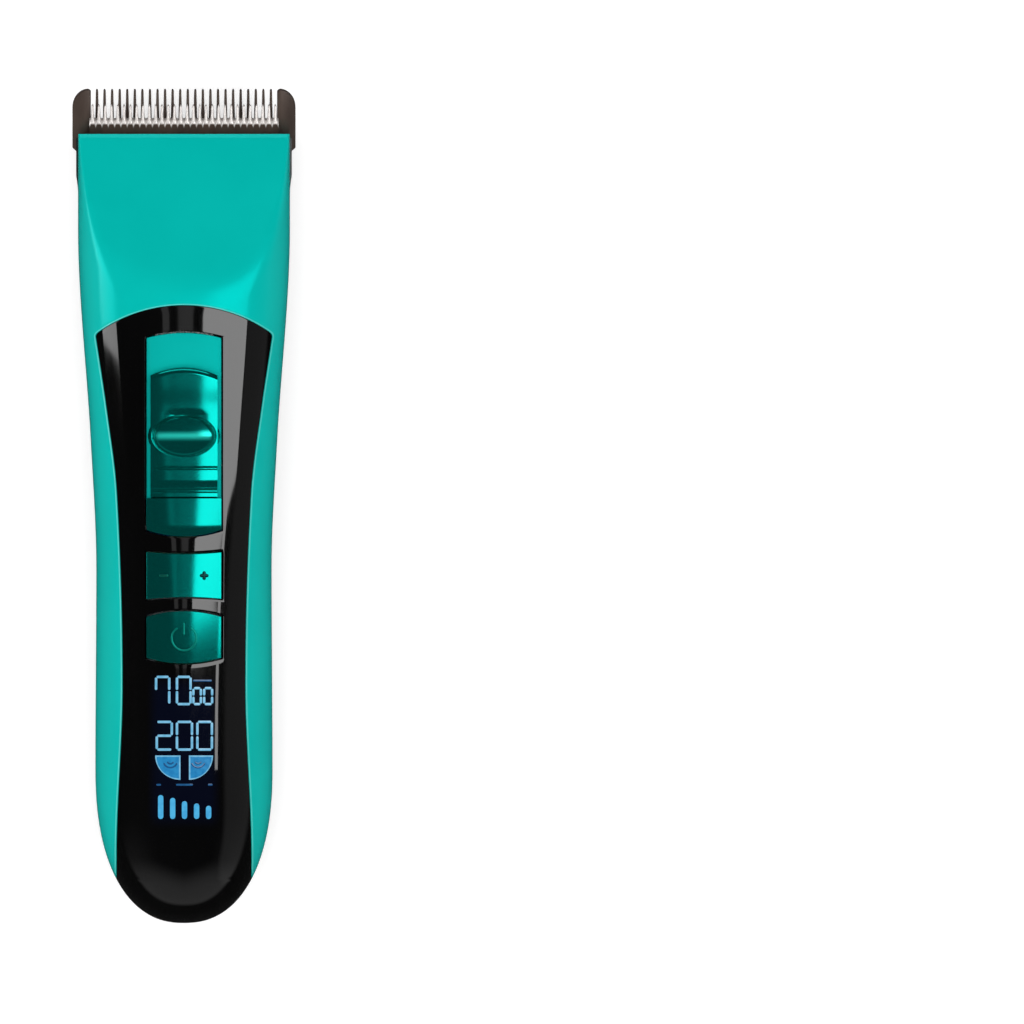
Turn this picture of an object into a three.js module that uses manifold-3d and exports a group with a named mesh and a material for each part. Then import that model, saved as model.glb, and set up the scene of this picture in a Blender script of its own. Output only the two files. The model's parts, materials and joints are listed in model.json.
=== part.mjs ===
// A cordless hair clipper, lying on its back with the display up.
// Millimetres. X runs across, Y runs from the tail to the blade, Z is up from the rest face on its back.
// Pieces that move are drawn at rest: taper slider back, buttons up, blade set closed, cutter centred.

import * as THREE from 'three';
import { mergeVertices } from 'three/addons/utils/BufferGeometryUtils.js';
import Module from 'manifold-3d';

const wasm = await Module();
wasm.setup();

// ---------------------------------------------------------------------------------------------
// Driving dimensions
// ---------------------------------------------------------------------------------------------

// Whole body
const overallLength = 178;
const bladeReach = 9.7;
const frontHeight = 37;
const partingHeight = 16;
const wall = 2.2;
const seamGap = 0.3;
const fitGap = 0.3;
const touchGap = 0.1;

// Half widths of the body, from the tail to the nose, and where each is reached
const tailHalf = 18.9;
const waistHalf = 18.7;
const hipHalf = 19.9;
const headHalf = 22.6;
const waistBehindNose = 93;
const hipBehindNose = 65.3;
const shoulderBehindNose = 20;

// Rounded tail: the plan narrows over its taper, the side view closes over its dome
const tailTaper = 33;
const tailDome = 14;
const tailPlanPower = 2.3;
const tailSidePower = 2.4;
const tailFrontDrop = 4;
const tailBackRise = 7.5;

// Underside: a belly that the rest face cuts flat, rising to the neck and the blade's heel
const bellyDip = 0.9;
const bellyStart = 44;
const bellyEnd = 66;
const neckRise = 3.2;
const neckBehindNose = 37;
const heelRise = 4.3;
const heelBehindNose = 26.9;

// Roundness of the body's sections: 2 is an ellipse, more is squarer. Both faces grow squarer to the head.
const frontPowerTail = 2.3;
const frontPowerWaist = 2.5;
const frontPowerHead = 3;
const headBehindNose = 45;
const backPowerTail = 2.8;
const backPowerHead = 5;

// Sloping head face
const headFaceLength = 33.3;
const lipThickness = 2.6;
const lipClearance = 0.8;
const mouthBackU = -22;

// Front panel
const panelThickness = 1.6;
const panelGap = 0.25;
const headLength = 36.9;
const panelSagitta = 5.8;
const panelTopHalf = 18.6;
const panelHipHalf = 16;
const panelHipBelowTop = 28.4;
const panelWaistHalf = 13.2;
const panelWaistBelowTop = 81;
const panelTailHalf = 14.5;
const panelCorner = 2.5;
const deckThickness = 1.5;
const deckMargin = 2.5;

// Clearances of what passes through the layers under the panel
const flangeRoom = 0.6;
const displayRoom = 0.5;

// Taper slider
const sliderHalf = 8;
const sliderBelowPanelTop = 5.5;
const sliderColumnLength = 43.4;
const sliderTopSagitta = 1.1;
const sliderEndSagitta = 1.4;
const trackShown = 7.4;
const knobLength = 27.6;
const knobTopSagitta = 1.7;
const knobProud = 1.7;
const trackDip = 0.6;
const trackThickness = 1;
const thumbBumpBelowKnobTop = 14.5;
const thumbBumpHalfLength = 4.6;
const thumbBumpHalfWidth = 7;
const thumbBumpHeight = 1.3;
const knobSideGap = 0.4;
const knobScoopRadius = 15;
const knobScoopDepth = 1.1;
const knobGrooves = [6.2, 3.8, 1.9];
const knobGrooveHalf = 0.3;
const knobGrooveDepth = 0.5;
const sliderTravel = 7;
const stemHalf = 2.1;
const stemLength = 9;
const carriageHalf = 6.4;
const carriageThickness = 1.5;
const carriageMargin = 2;
const carriageCheek = 1.6;
const carriageCheekDrop = 1.4;
const carriageCheekSide = 1;
const detentBow = 0.9;
const detentThickness = 0.4;
const detentFootWidth = 1.4;
const detentFootLength = 3;
const deckFacetGap = 0.3;

// Buttons
const rockerBelowSlider = 3.8;
const rockerLength = 9.2;
const rockerSagitta = -0.4;
const powerBelowRocker = 3;
const powerLength = 11.1;
const powerSagitta = 1.2;
const buttonHalf = 8;
const buttonGap = 0.35;
const buttonProud = 0.9;
const flangeMargin = 1;
const flangeThickness = 1;
const rockerFlangeDrop = 0.8;

// Display
const displayBelowPower = 1.8;
const displayFromTail = 19.6;
const displayHalf = 8.4;
const displayThickness = 2.8;
const displayCorner = 0.8;
const displayRim = 1;
const displayRimRise = 0.3;

// Circuit board and switches
const boardDepth = 8.3;
const boardThickness = 1.2;
const boardHalf = 9.4;
const boardCorner = 1.5;
const boardBehindDisplay = 1.5;
const boardHole = 1.1;
const boardHoleAhead = 3;
const switchSize = 4.5;
const switchHeight = 1.1;
const switchPlunger = 1.1;
const switchPlungerRise = 0.3;
const rockerSwitchX = 4.7;
const padHeight = 2.2;
const padSheet = 0.6;
const padMargin = 1;
const padEndMargin = 0.6;
const padWall = 1;
const padCorner = 1;
const dimpleRadius = 1.8;
const rockerDimple = 1;
const powerDimple = 2.1;

// Blade set: the blade plane leans up towards the tips
const bladeAngle = THREE.MathUtils.degToRad(20);
const bladeOverhang = 1.2;
const fixedHeelStep = 1.6;
const fixedHeelRound = 5;
const fixedThickness = 3;
const fixedLength = 31;
const cheekLength = 13;
const cheekWidth = 3.95;
const cheekCornerWidth = 3.4;
const cheekCornerLength = 4.4;
const cheekSetBack = 0.2;
const fixedToothCount = 24;
const fixedEndGap = 0.5;
const fixedToothTip = 0.5;
const fixedToothRoot = 0.85;
const fixedToothLength = 9;
const tipThickness = 1.2;
const tipBevel = 12;
const cutterSetBack = 3.7;
const cutterLength = 20.3;
const cutterThickness = 2.2;
const cutterSideGap = 2.2;
const cutterToothCount = 30;
const cutterRowOverlap = 0.31;
const cutterRowDepth = 2.4;
const cutterNeck = 1;
const cutterHeelCorner = 1.5;
const cutterEdge = 0.9;
const cutterGrindBehindRoot = 1;
const cutterToothTip = 0.42;
const cutterToothRoot = 0.8;
const cutterToothLength = 4.6;
const cutterTravel = 0.9;
const adjustTravel = 1.2;
const bladeScrewX = 14;
const bladeScrewU = -28;
const bladeScrewRadius = 1.5;
const bladeScrewHead = 2.8;
const bladeScrewHeadHeight = 1.5;
const bladeScrewLength = 5.6;

// Drive yoke: its plate pegs into the cutter, and its fork stands round the cam's pin
const yokePegX = 7;
const yokePegU = -16.5;
const yokePegRadius = 1.3;
const yokeHalf = 10.4;
const yokePlateHalf = 4.4;
const yokePlateThickness = 1.8;
const yokeStemU = -20.6;
const yokeStemWidth = 3;
const forkU = -24;
const forkFloor = 10.8;
const forkArmThickness = 1.9;
const forkHeight = 5.8;
const forkLength = 4;
const forkCheek = 2.2;

// Blade carriage: a frame behind and beside the cutter, with a lug for the link
const carriageBack = -26.2;
const carriageEnd = -12;
const carriageRailWidth = 6.9;
const carriageBar = 2.4;
const bladeCarriageThickness = 1.5;
const lugU = -26.1;
const lugThickness = 1.2;
const lugMargin = 0.3;
const lugHeight = 12;
const springWire = 0.45;
const springFromSide = 2.9;
const springInset = 2;

// Blade base and its hinge
const baseProud = 0.4;
const railWidth = 2.6;
const hingeBack = 34.5;
const hingeRise = 2.8;
const hingeBarrel = 2.6;
const hingePin = 1.2;
const hookOuter = 2.4;
const hookX = 11;
const hookWidth = 4;
const hookArmHalf = 1;
const hookArmRoot = 4;
const hingeSideGap = 0.4;
const hingePinRoot = 1;
const barrelTurn = 0.72 * Math.PI;
const heelRim = 2.6;

// Motor and drive
const motorHeight = 21.5;
const motorRadius = 10;
const motorFlat = 7.7;
const motorLength = 31;
const motorBehindNose = 29.3;
const shaftRadius = 1;
const shaftReach = 7.4;
const shaftInCan = 3.6;
const camRadius = 3.8;
const camLength = 5;
const camPin = 1;
const camThrow = cutterTravel;
const camPinLength = 6;
const camGap = 3;
const motorBossRadius = 3.1;
const motorBossLength = 1.6;
const motorCapThickness = 1.6;
const motorCapStep = 0.6;
const terminalX = 5.5;
const terminalWidth = 1.8;
const terminalThickness = 0.5;
const terminalLength = 2.4;
const mountThickness = 2;
const mountHalf = 15.5;
const mountDown = 12.5;
const mountUp = 9.5;
const motorScrewX = 6;
const motorScrewRadius = 1.1;
const motorScrewHead = 1.9;
const motorScrewHeadHeight = 1;

// Battery: it fills the space between the floor, the circuit board, the motor and the inlet
const batteryFloor = 5.4;
const batteryBelowBoard = 3.7;
const batteryFromTail = 28;
const batteryBehindMotor = 15;
const batteryNub = 1;
const bedRibHalf = 0.8;
const bedRibBelowAxis = 3;
const bedRibFromBack = 12;
const bedRibFromFront = 6;
const batteryNubRadius = 2.8;
const tabThickness = 0.4;
const tabWidth = 5;
const tabRun = 9.4;
const tabDrop = 4;

// Lever between the taper slider and the blade carriage
const leverPivotHeight = 10;
const leverBehindMotor = 9.5;
const leverHead = 1.9;
const leverX = 3;
const leverThickness = 2;
const leverPin = 1;
const leverPinFit = 0.2;
const leverFoot = 2.4;
const leverNeckHalf = 1.3;
const leverShoulder = 1;
const leverTaper = 3;
const pivotPostHalf = 2.6;
const pivotPostThickness = 1.8;
const pivotPostOverPin = 0.5;
const linkX = 11;
const linkWidth = 2;
const linkHeight = 1.8;
const linkRunGap = 0.5;
const linkPin = 0.7;
const linkArmThickness = 1.6;
const linkArmHalf = 1.4;
const linkArmDrop = 1.1;
const linkStepAhead = 2.6;
const linkStepWidth = 2;

// Housing screws
const screwHead = 2.6;
const screwHeadHeight = 2.2;
const screwShank = 1.3;
const screwLength = 17;
const tailScrewX = 12.9;
const tailScrewAhead = 29;
const neckScrewX = 16.6;
const neckScrewBehindNose = 33.3;
const screwSeat = 7.4;
const screwHeadBevel = 0.6;
const pilotBeyondScrew = 1.2;
const bossRadius = 3;
const bossFoot = 4.1;
const bossFootHeight = 1.4;
const bossTaper = 0.6;
const wallBite = 0.2;

// Charging inlet in the tail
const inletHeight = 11.2;
const inletHalf = 4.47;
const inletThickness = 3.26;
const inletWall = 0.3;
const inletDepth = 7.4;
const inletPocket = 3.9;
const inletPocketHalf = 6.2;
const inletPocketRise = 2.6;
const inletPocketCorner = 1;
const inletPadHalf = 8;
const inletPadRise = 4;
const inletPadWall = 2.4;
const inletTongueHalf = 3.3;
const inletTongueRise = 0.35;
const inletTongueSetBack = 0.9;
const inletBackplate = 0.5;
const inletBoardHalf = 6;
const inletBoardAhead = 3;
const inletBoardLength = 8;
const inletBoardThickness = 1;

// ---------------------------------------------------------------------------------------------
// Places worked out from the dimensions
// ---------------------------------------------------------------------------------------------

const yTip = overallLength / 2;
const yTail = -overallLength / 2;
const yNose = yTip - bladeReach;
const yPanelTop = yNose - headLength;
const yColumnTop = yPanelTop - sliderBelowPanelTop;
const yColumnEnd = yColumnTop - sliderColumnLength;
const yKnobTop = yColumnTop - trackShown;
const yRockerTop = yColumnEnd - rockerBelowSlider;
const yRockerEnd = yRockerTop - rockerLength;
const yPowerTop = yRockerEnd - powerBelowRocker;
const yPowerEnd = yPowerTop - powerLength;
const yDisplayTop = yPowerEnd - displayBelowPower;
const yDisplayEnd = yTail + displayFromTail;
const displayLength = yDisplayTop - yDisplayEnd;
const yDisplay = (yDisplayTop + yDisplayEnd) / 2;
const yMotorFront = yNose - motorBehindNose;
const yMotorBack = yMotorFront - motorLength;
const yBatteryFront = yMotorBack - batteryBehindMotor;
const yBatteryBack = yTail + batteryFromTail;
const yLever = yMotorBack - leverBehindMotor;

// Widths of the blade set, from the nose in
const fixedHalf = headHalf + bladeOverhang;
const fixedHeelHalf = fixedHalf - fixedHeelStep;
const cheekInner = fixedHalf - cheekWidth;
const fixedToothPitch = (2 * (cheekInner - fixedEndGap)) / fixedToothCount;
const cutterRowHalf = cheekInner + cutterRowOverlap;
const cutterToothPitch = (2 * cutterRowHalf) / cutterToothCount;
const railInner = fixedHalf - railWidth;
const cutterBodyHalf = railInner - cutterSideGap;

// Cutting shapes run this far past what they cut.
const past = 2;
const overTop = frontHeight + 5;

const boardTop = frontHeight - boardDepth;
const batteryRadius = (boardTop - boardThickness - batteryBelowBoard - batteryFloor) / 2;
const batteryHeight = batteryFloor + batteryRadius;

// The blade frame: u runs along the blade plane to the tips, v stands square off it.
const cosBlade = Math.cos(bladeAngle);
const sinBlade = Math.sin(bladeAngle);
const yBlade = yTip + (fixedThickness - tipThickness) * sinBlade;
const uAt = (y, v) => (y - yBlade + v * sinBlade) / cosBlade;
const noseU = uAt(yNose, fixedThickness);
const zTip = partingHeight - fitGap - noseU * sinBlade - fixedThickness * cosBlade;
const bladeY = (u, v) => yBlade + u * cosBlade - v * sinBlade;
const bladeZ = (u, v) => zTip + u * sinBlade + v * cosBlade;
const bladeFrame = new THREE.Matrix4().makeRotationX(bladeAngle).setPosition(0, yBlade, zTip);
const cutterBottom = fixedThickness + fitGap;
const cutterTop = cutterBottom + cutterThickness;
const yokeFoot = cutterTop + fitGap;
const yokePlateTop = yokeFoot + yokePlateThickness;
const carriageFloor = yokeFoot;
const carriageRoof = carriageFloor + bladeCarriageThickness;
const yHinge = bladeY(-hingeBack, hingeRise);
const zHinge = bladeZ(-hingeBack, hingeRise);
const yRearEnd = yHinge - hingeBarrel - fitGap - 0.1;

// The head face is the plane from the nose lip up to the front line.
const cutterTopU = uAt(yNose, cutterTop);
const lipUnder = bladeZ(cutterTopU, cutterTop) + lipClearance;
const lipTop = lipUnder + lipThickness;
const faceSlope = (frontHeight - lipTop) / headFaceLength;

// ---------------------------------------------------------------------------------------------
// Solids: closed three.js meshes joined and cut
// ---------------------------------------------------------------------------------------------

function solidOf(geometry) {
  const bare = geometry.clone();
  bare.deleteAttribute('normal');
  bare.deleteAttribute('uv');
  const merged = mergeVertices(bare, 1e-5);
  const mesh = new wasm.Mesh({
    numProp: 3,
    vertProperties: Float32Array.from(merged.attributes.position.array),
    triVerts: Uint32Array.from(merged.index.array),
  });
  return new wasm.Manifold(mesh);
}

function geometryOf(solid) {
  const mesh = solid.getMesh();
  const geometry = new THREE.BufferGeometry();
  geometry.setAttribute('position', new THREE.BufferAttribute(mesh.vertProperties, 3));
  geometry.setIndex(new THREE.BufferAttribute(mesh.triVerts, 1));
  return geometry;
}

const join = (...solids) => solids.reduce((whole, next) => whole.add(next));
const cut = (solid, ...cutters) => cutters.reduce((left, cutter) => left.subtract(cutter), solid);
const common = (...solids) => solids.reduce((whole, next) => whole.intersect(next));

// An outline through points, each a pair.
function polygon(points) {
  return new THREE.Shape(points.map(([a, b]) => new THREE.Vector2(a, b)));
}

function extruded(shape, depth, curveSegments) {
  return new THREE.ExtrudeGeometry(shape, { depth, bevelEnabled: false, curveSegments });
}

// An (x, y) outline raised from one height to another.
function raised(shape, low, high, curveSegments = 4) {
  return solidOf(extruded(shape, high - low, curveSegments).translate(0, 0, low));
}

// A (y, z) side profile given width across X.
const sideBasis = new THREE.Matrix4().makeBasis(
  new THREE.Vector3(0, 1, 0), new THREE.Vector3(0, 0, 1), new THREE.Vector3(1, 0, 0));

function across(shape, left, right, curveSegments = 8) {
  return solidOf(extruded(shape, right - left, curveSegments).applyMatrix4(sideBasis).translate(left, 0, 0));
}

// An (x, z) cross-section given length along Y.
const lengthBasis = new THREE.Matrix4().makeBasis(
  new THREE.Vector3(1, 0, 0), new THREE.Vector3(0, 0, 1), new THREE.Vector3(0, -1, 0));

function along(shape, back, front, curveSegments = 8) {
  const geometry = extruded(shape, front - back, curveSegments).applyMatrix4(lengthBasis);
  return solidOf(geometry.translate(0, front, 0));
}

function block(x0, x1, y0, y1, z0, z1) {
  const box = new THREE.BoxGeometry(x1 - x0, y1 - y0, z1 - z0);
  return solidOf(box.translate((x0 + x1) / 2, (y0 + y1) / 2, (z0 + z1) / 2));
}

// A block drawn in the blade frame.
function bladeBlock(x0, x1, u0, u1, v0, v1) {
  const box = new THREE.BoxGeometry(x1 - x0, u1 - u0, v1 - v0);
  return solidOf(box.translate((x0 + x1) / 2, (u0 + u1) / 2, (v0 + v1) / 2).applyMatrix4(bladeFrame));
}

// A turned piece: its profile is (radius, height) pairs from axis to axis, and its axis is Z.
function turned(profile, x, y, segments = 16) {
  const points = profile.map(([radius, height]) => new THREE.Vector2(radius, height));
  return solidOf(new THREE.LatheGeometry(points, segments).rotateX(Math.PI / 2).translate(x, y, 0));
}

function post(x, y, radius, low, high, segments = 16) {
  return turned([[0, low], [radius, low], [radius, high], [0, high]], x, y, segments);
}

// A round bar along X or along Y.
function barX(radius, x0, x1, y, z, segments = 16) {
  const bar = new THREE.CylinderGeometry(radius, radius, x1 - x0, segments).rotateZ(Math.PI / 2);
  return solidOf(bar.translate((x0 + x1) / 2, y, z));
}

function barY(radius, y0, y1, x, z, segments = 24) {
  const bar = new THREE.CylinderGeometry(radius, radius, y1 - y0, segments);
  return solidOf(bar.translate(x, (y0 + y1) / 2, z));
}

function roundedRect(halfA, halfB, radius, a = 0, b = 0) {
  const shape = new THREE.Shape();
  const inA = halfA - radius;
  const inB = halfB - radius;
  shape.absarc(a + inA, b - inB, radius, -Math.PI / 2, 0);
  shape.absarc(a + inA, b + inB, radius, 0, Math.PI / 2);
  shape.absarc(a - inA, b + inB, radius, Math.PI / 2, Math.PI);
  shape.absarc(a - inA, b - inB, radius, Math.PI, 1.5 * Math.PI);
  return shape;
}

// ---------------------------------------------------------------------------------------------
// Body form: one closed loft whose sections follow the plan, the front line and the back line
// ---------------------------------------------------------------------------------------------

// A smooth curve through (position, value) stations, level at its ends and wherever it turns.
function smoothLine(stations) {
  const last = stations.length - 1;
  const slopes = stations.map((station, i) => {
    const before = stations[Math.max(i - 1, 0)];
    const after = stations[Math.min(i + 1, last)];
    const turns = (station[1] - before[1]) * (after[1] - station[1]) <= 0;
    return turns ? 0 : (after[1] - before[1]) / (after[0] - before[0]);
  });
  return (position) => {
    const held = Math.min(Math.max(position, stations[0][0]), stations[last][0]);
    const i = Math.min(stations.findLastIndex((station) => station[0] <= held), last - 1);
    const step = stations[i + 1][0] - stations[i][0];
    const t = (held - stations[i][0]) / step;
    const share = 3 * t ** 2 - 2 * t ** 3;
    const rise = (1 - share) * stations[i][1] + share * stations[i + 1][1];
    return rise + step * ((t ** 3 - 2 * t ** 2 + t) * slopes[i] + (t ** 3 - t ** 2) * slopes[i + 1]);
  };
}

const bodyHalfAt = smoothLine([
  [yTail + tailTaper, tailHalf],
  [yNose - waistBehindNose, waistHalf],
  [yNose - hipBehindNose, hipHalf],
  [yNose - shoulderBehindNose, headHalf],
]);

const frontLineAt = smoothLine([
  [yTail, frontHeight - tailFrontDrop],
  [yTail + tailTaper, frontHeight],
  [yNose, frontHeight],
]);

const backLineAt = smoothLine([
  [yTail, tailBackRise],
  [yTail + tailDome, tailBackRise - 1],
  [yTail + bellyStart, -bellyDip],
  [yNose - bellyEnd, -bellyDip],
  [yNose - neckBehindNose, neckRise],
  [yNose - heelBehindNose, heelRise],
]);

const frontPowerAt = smoothLine([
  [yTail + tailTaper, frontPowerTail],
  [yNose - waistBehindNose, frontPowerWaist],
  [yNose - headBehindNose, frontPowerHead],
]);

const backPowerAt = smoothLine([
  [yTail + tailTaper, backPowerTail],
  [yNose - hipBehindNose, backPowerTail],
  [yNose - heelBehindNose, backPowerHead],
]);

// How far a round end has opened, from 0 at its tip to 1 where it meets the straight part.
function opened(distance, length, power) {
  const t = Math.min(Math.max(distance / length, 0), 1);
  return (1 - (1 - t) ** power) ** (1 / power);
}

// The body's section at y, drawn in by an inset, as points round it from the right side over the front.
function sectionPoints(y, inset, count) {
  const start = yTail + inset;
  const half = (bodyHalfAt(y) - inset) * opened(y - start, tailTaper - inset, tailPlanPower);
  const dome = opened(y - start, tailDome - inset, tailSidePower);
  const rise = (frontLineAt(y) - inset - partingHeight) * dome;
  const fall = (partingHeight - backLineAt(y) - inset) * dome;
  return Array.from({ length: count }, (_, i) => {
    const angle = (2 * Math.PI * i) / count;
    const power = angle < Math.PI ? frontPowerAt(y) : backPowerAt(y);
    const reach = angle < Math.PI ? rise : fall;
    const x = Math.sign(Math.cos(angle)) * Math.abs(Math.cos(angle)) ** (2 / power) * half;
    const z = Math.sign(Math.sin(angle)) * Math.abs(Math.sin(angle)) ** (2 / power) * reach;
    return [x, y, partingHeight + z];
  });
}

// The loft through those sections, closed at the tail's tip and by a flat face at its front end.
// Outer surfaces are fine; the surfaces inside the housing have fewer facets.
const fine = { count: 32, tailRows: 8, bodyRows: 14 };
const plain = { count: 20, tailRows: 5, bodyRows: 8 };

function bodyLoft(inset, yFront, { count, tailRows, bodyRows } = plain) {
  const start = yTail + inset;
  const taper = tailTaper - inset;
  const rows = [];
  for (let i = 1; i <= tailRows; i += 1) rows.push(start + taper * (i / tailRows) ** 2);
  const bodyStart = start + taper;
  for (let i = 1; i <= bodyRows; i += 1) rows.push(bodyStart + ((yFront - bodyStart) * i) / bodyRows);
  const points = [[0, start, partingHeight], ...rows.flatMap((y) => sectionPoints(y, inset, count))];
  points.push([0, yFront, partingHeight]);
  const faces = [];
  const at = (row, i) => 1 + row * count + (i % count);
  for (let i = 0; i < count; i += 1) {
    faces.push(0, at(0, i), at(0, i + 1));
    faces.push(points.length - 1, at(rows.length - 1, i + 1), at(rows.length - 1, i));
    for (let row = 0; row + 1 < rows.length; row += 1) {
      faces.push(at(row, i), at(row + 1, i), at(row + 1, i + 1));
      faces.push(at(row, i), at(row + 1, i + 1), at(row, i + 1));
    }
  }
  const geometry = new THREE.BufferGeometry();
  geometry.setAttribute('position', new THREE.BufferAttribute(new Float32Array(points.flat()), 3));
  geometry.setIndex(faces);
  return solidOf(geometry);
}

// Everything inside the rest face and the head face, drawn in by an inset.
function sideLimits(inset) {
  const slant = inset * Math.hypot(1, faceSlope);
  const beyond = yNose + 6;
  const high = frontHeight + 30;
  const faceAt = (z) => yNose + (lipTop - slant - z) / faceSlope;
  return across(polygon([
    [yTail - 5, inset],
    [beyond, inset],
    [beyond, lipTop - slant - (beyond - yNose) * faceSlope],
    [faceAt(high), high],
    [yTail - 5, high],
  ]), -headHalf - 10, headHalf + 10);
}

const wide = headHalf + 20;
const above = (z) => block(-wide, wide, yTail - 10, yTip + 10, z, frontHeight + 40);
const below = (z) => block(-wide, wide, yTail - 10, yTip + 10, -10, z);
const behind = (y) => block(-wide, wide, yTail - 10, y, -10, frontHeight + 40);

const bodyOuter = common(bodyLoft(0, yNose + 1, fine), sideLimits(0), behind(yNose));
const bodyInner = common(bodyLoft(wall, yNose + 5), sideLimits(wall));

// ---------------------------------------------------------------------------------------------
// Outlines on the front face
// ---------------------------------------------------------------------------------------------

const panelHalfAt = smoothLine([
  [yTail, panelTailHalf],
  [yTail + tailDome, panelTailHalf],
  [yPanelTop - panelWaistBelowTop, panelWaistHalf],
  [yPanelTop - panelHipBelowTop, panelHipHalf],
  [yPanelTop - panelSagitta, panelTopHalf],
]);

// The panel's outline: a shallow arc at the top, waisted sides, open past the tail.
function panelOutline(grow) {
  const chord = panelTopHalf + grow;
  const arcRadius = (panelTopHalf ** 2 + panelSagitta ** 2) / (2 * panelSagitta) + grow;
  const arcCentre = yPanelTop + grow - arcRadius;
  const arcEnd = Math.acos((chord - panelCorner) / arcRadius);
  const cornerY = arcCentre + Math.sqrt(arcRadius ** 2 - chord ** 2);
  const sideTop = cornerY - panelCorner;
  const sideEnd = yTail - 4;
  const steps = 12;
  const side = Array.from({ length: steps + 1 }, (_, i) => {
    const y = sideTop + ((sideEnd - sideTop) * i) / steps;
    return [panelHalfAt(y) + grow, y];
  });
  const shape = new THREE.Shape();
  shape.moveTo(-side[steps][0], sideEnd);
  for (const [x, y] of side.slice(0, steps).reverse()) shape.lineTo(-x, y);
  const arcStartX = -arcRadius * Math.cos(arcEnd);
  const arcStartY = arcCentre + arcRadius * Math.sin(arcEnd);
  shape.quadraticCurveTo(-chord, cornerY, arcStartX, arcStartY);
  shape.absarc(0, arcCentre, arcRadius, Math.PI - arcEnd, arcEnd, true);
  shape.quadraticCurveTo(chord, cornerY, side[0][0], sideTop);
  for (const [x, y] of side.slice(1)) shape.lineTo(x, y);
  return shape;
}

// A button or slider outline: straight sides, ends bowed by their sagittas.
function bowedOutline(half, yEnd, yTop, endSagitta, topSagitta, grow) {
  const side = half + grow;
  const shape = new THREE.Shape();
  shape.moveTo(-side, yEnd + endSagitta - grow);
  shape.quadraticCurveTo(0, yEnd - endSagitta - grow, side, yEnd + endSagitta - grow);
  shape.lineTo(side, yTop - topSagitta + grow);
  shape.quadraticCurveTo(0, yTop + topSagitta + grow, -side, yTop - topSagitta + grow);
  return shape;
}

const columnOutline = (grow) =>
  bowedOutline(sliderHalf, yColumnEnd, yColumnTop, sliderEndSagitta, sliderTopSagitta, grow);
const rockerOutline = (grow) =>
  bowedOutline(buttonHalf, yRockerEnd, yRockerTop, rockerSagitta, rockerSagitta, grow);
const powerOutline = (grow) =>
  bowedOutline(buttonHalf, yPowerEnd, yPowerTop, powerSagitta, powerSagitta, grow);
const displayOutline = (grow) =>
  roundedRect(displayHalf + grow, displayLength / 2 + grow, displayCorner + grow, 0, yDisplay);

// The slider's slot in the layers under the knob: the stem's length plus its travel.
const ySlot = yKnobTop - knobLength / 2;
const slotOutline = (grow) => roundedRect(
  stemHalf + grow, (stemLength + sliderTravel) / 2 + grow, 0.5, 0, ySlot + sliderTravel / 2);

// Depths below the body's surface of the layers under the panel
const deckTop = panelThickness + fitGap;
const deckUnder = deckTop + deckThickness;
const aboveMiddle = partingHeight + 6;

// The height of the front surface at (x, y), drawn in by an inset.
function frontAt(x, y, inset) {
  const half = bodyHalfAt(y) - inset;
  const rise = frontLineAt(y) - inset - partingHeight;
  const power = frontPowerAt(y);
  return partingHeight + rise * (1 - (x / half) ** power) ** (1 / power);
}

// ---------------------------------------------------------------------------------------------
// Materials
// ---------------------------------------------------------------------------------------------

const finish = (color, roughness, metalness) => () =>
  new THREE.MeshStandardMaterial({ color, roughness, metalness });
const tealPlastic = finish(0x05b5ac, 0.42, 0);
const blackPlastic = finish(0x141415, 0.5, 0);
const glossBlack = finish(0x050506, 0.06, 0);
const glossTeal = finish(0x0a9c92, 0.2, 0.5);
const darkSteel = finish(0x3e302a, 0.36, 0.85);
const groundSteel = finish(0xc9c4bc, 0.3, 0.9);
const plainSteel = finish(0xb4b6b8, 0.35, 0.9);
const whitePlastic = finish(0xe6e3da, 0.45, 0);
const boardGreen = finish(0x1d5a3a, 0.5, 0.1);
const batteryWrap = finish(0x2f6fb5, 0.4, 0);
const silicone = finish(0x9aa0a4, 0.7, 0);
const displayGlass = finish(0x10161c, 0.12, 0.1);

const clipper = new THREE.Group();
const bladeSet = new THREE.Group();
bladeSet.position.set(0, yBlade, zTip);
bladeSet.rotation.x = bladeAngle;
clipper.add(bladeSet);

function place(name, solid, material, parent = clipper) {
  const mesh = new THREE.Mesh(geometryOf(solid), material());
  mesh.name = name;
  parent.add(mesh);
}

// ---------------------------------------------------------------------------------------------
// Housing
// ---------------------------------------------------------------------------------------------

const screwPlaces = [
  ['housing_screw_tail_left', -tailScrewX, yTail + tailScrewAhead],
  ['housing_screw_tail_right', tailScrewX, yTail + tailScrewAhead],
  ['housing_screw_neck_left', -neckScrewX, yNose - neckScrewBehindNose],
  ['housing_screw_neck_right', neckScrewX, yNose - neckScrewBehindNose],
];
const screwTop = screwSeat + screwLength;
const screwHole = screwShank + fitGap;
const headHole = screwHead + fitGap;

// The layer between two depths under the body's surface, above the parting plane.
function frontLayer(top, under) {
  return cut(common(bodyLoft(top, yNose), above(aboveMiddle)), bodyLoft(under, yNose + 2));
}

// Room in the side walls for the carriage, and in front of it for the cutter's wide tooth row.
function bladeMouth() {
  const reach = carriageEnd + adjustTravel + fitGap;
  return join(
    bladeBlock(-railInner, railInner, mouthBackU, reach, -fixedThickness, carriageRoof + fitGap),
    bladeBlock(-railInner, railInner, reach - fitGap, cutterLength, -fixedThickness, cutterTop + fitGap),
  );
}

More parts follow.
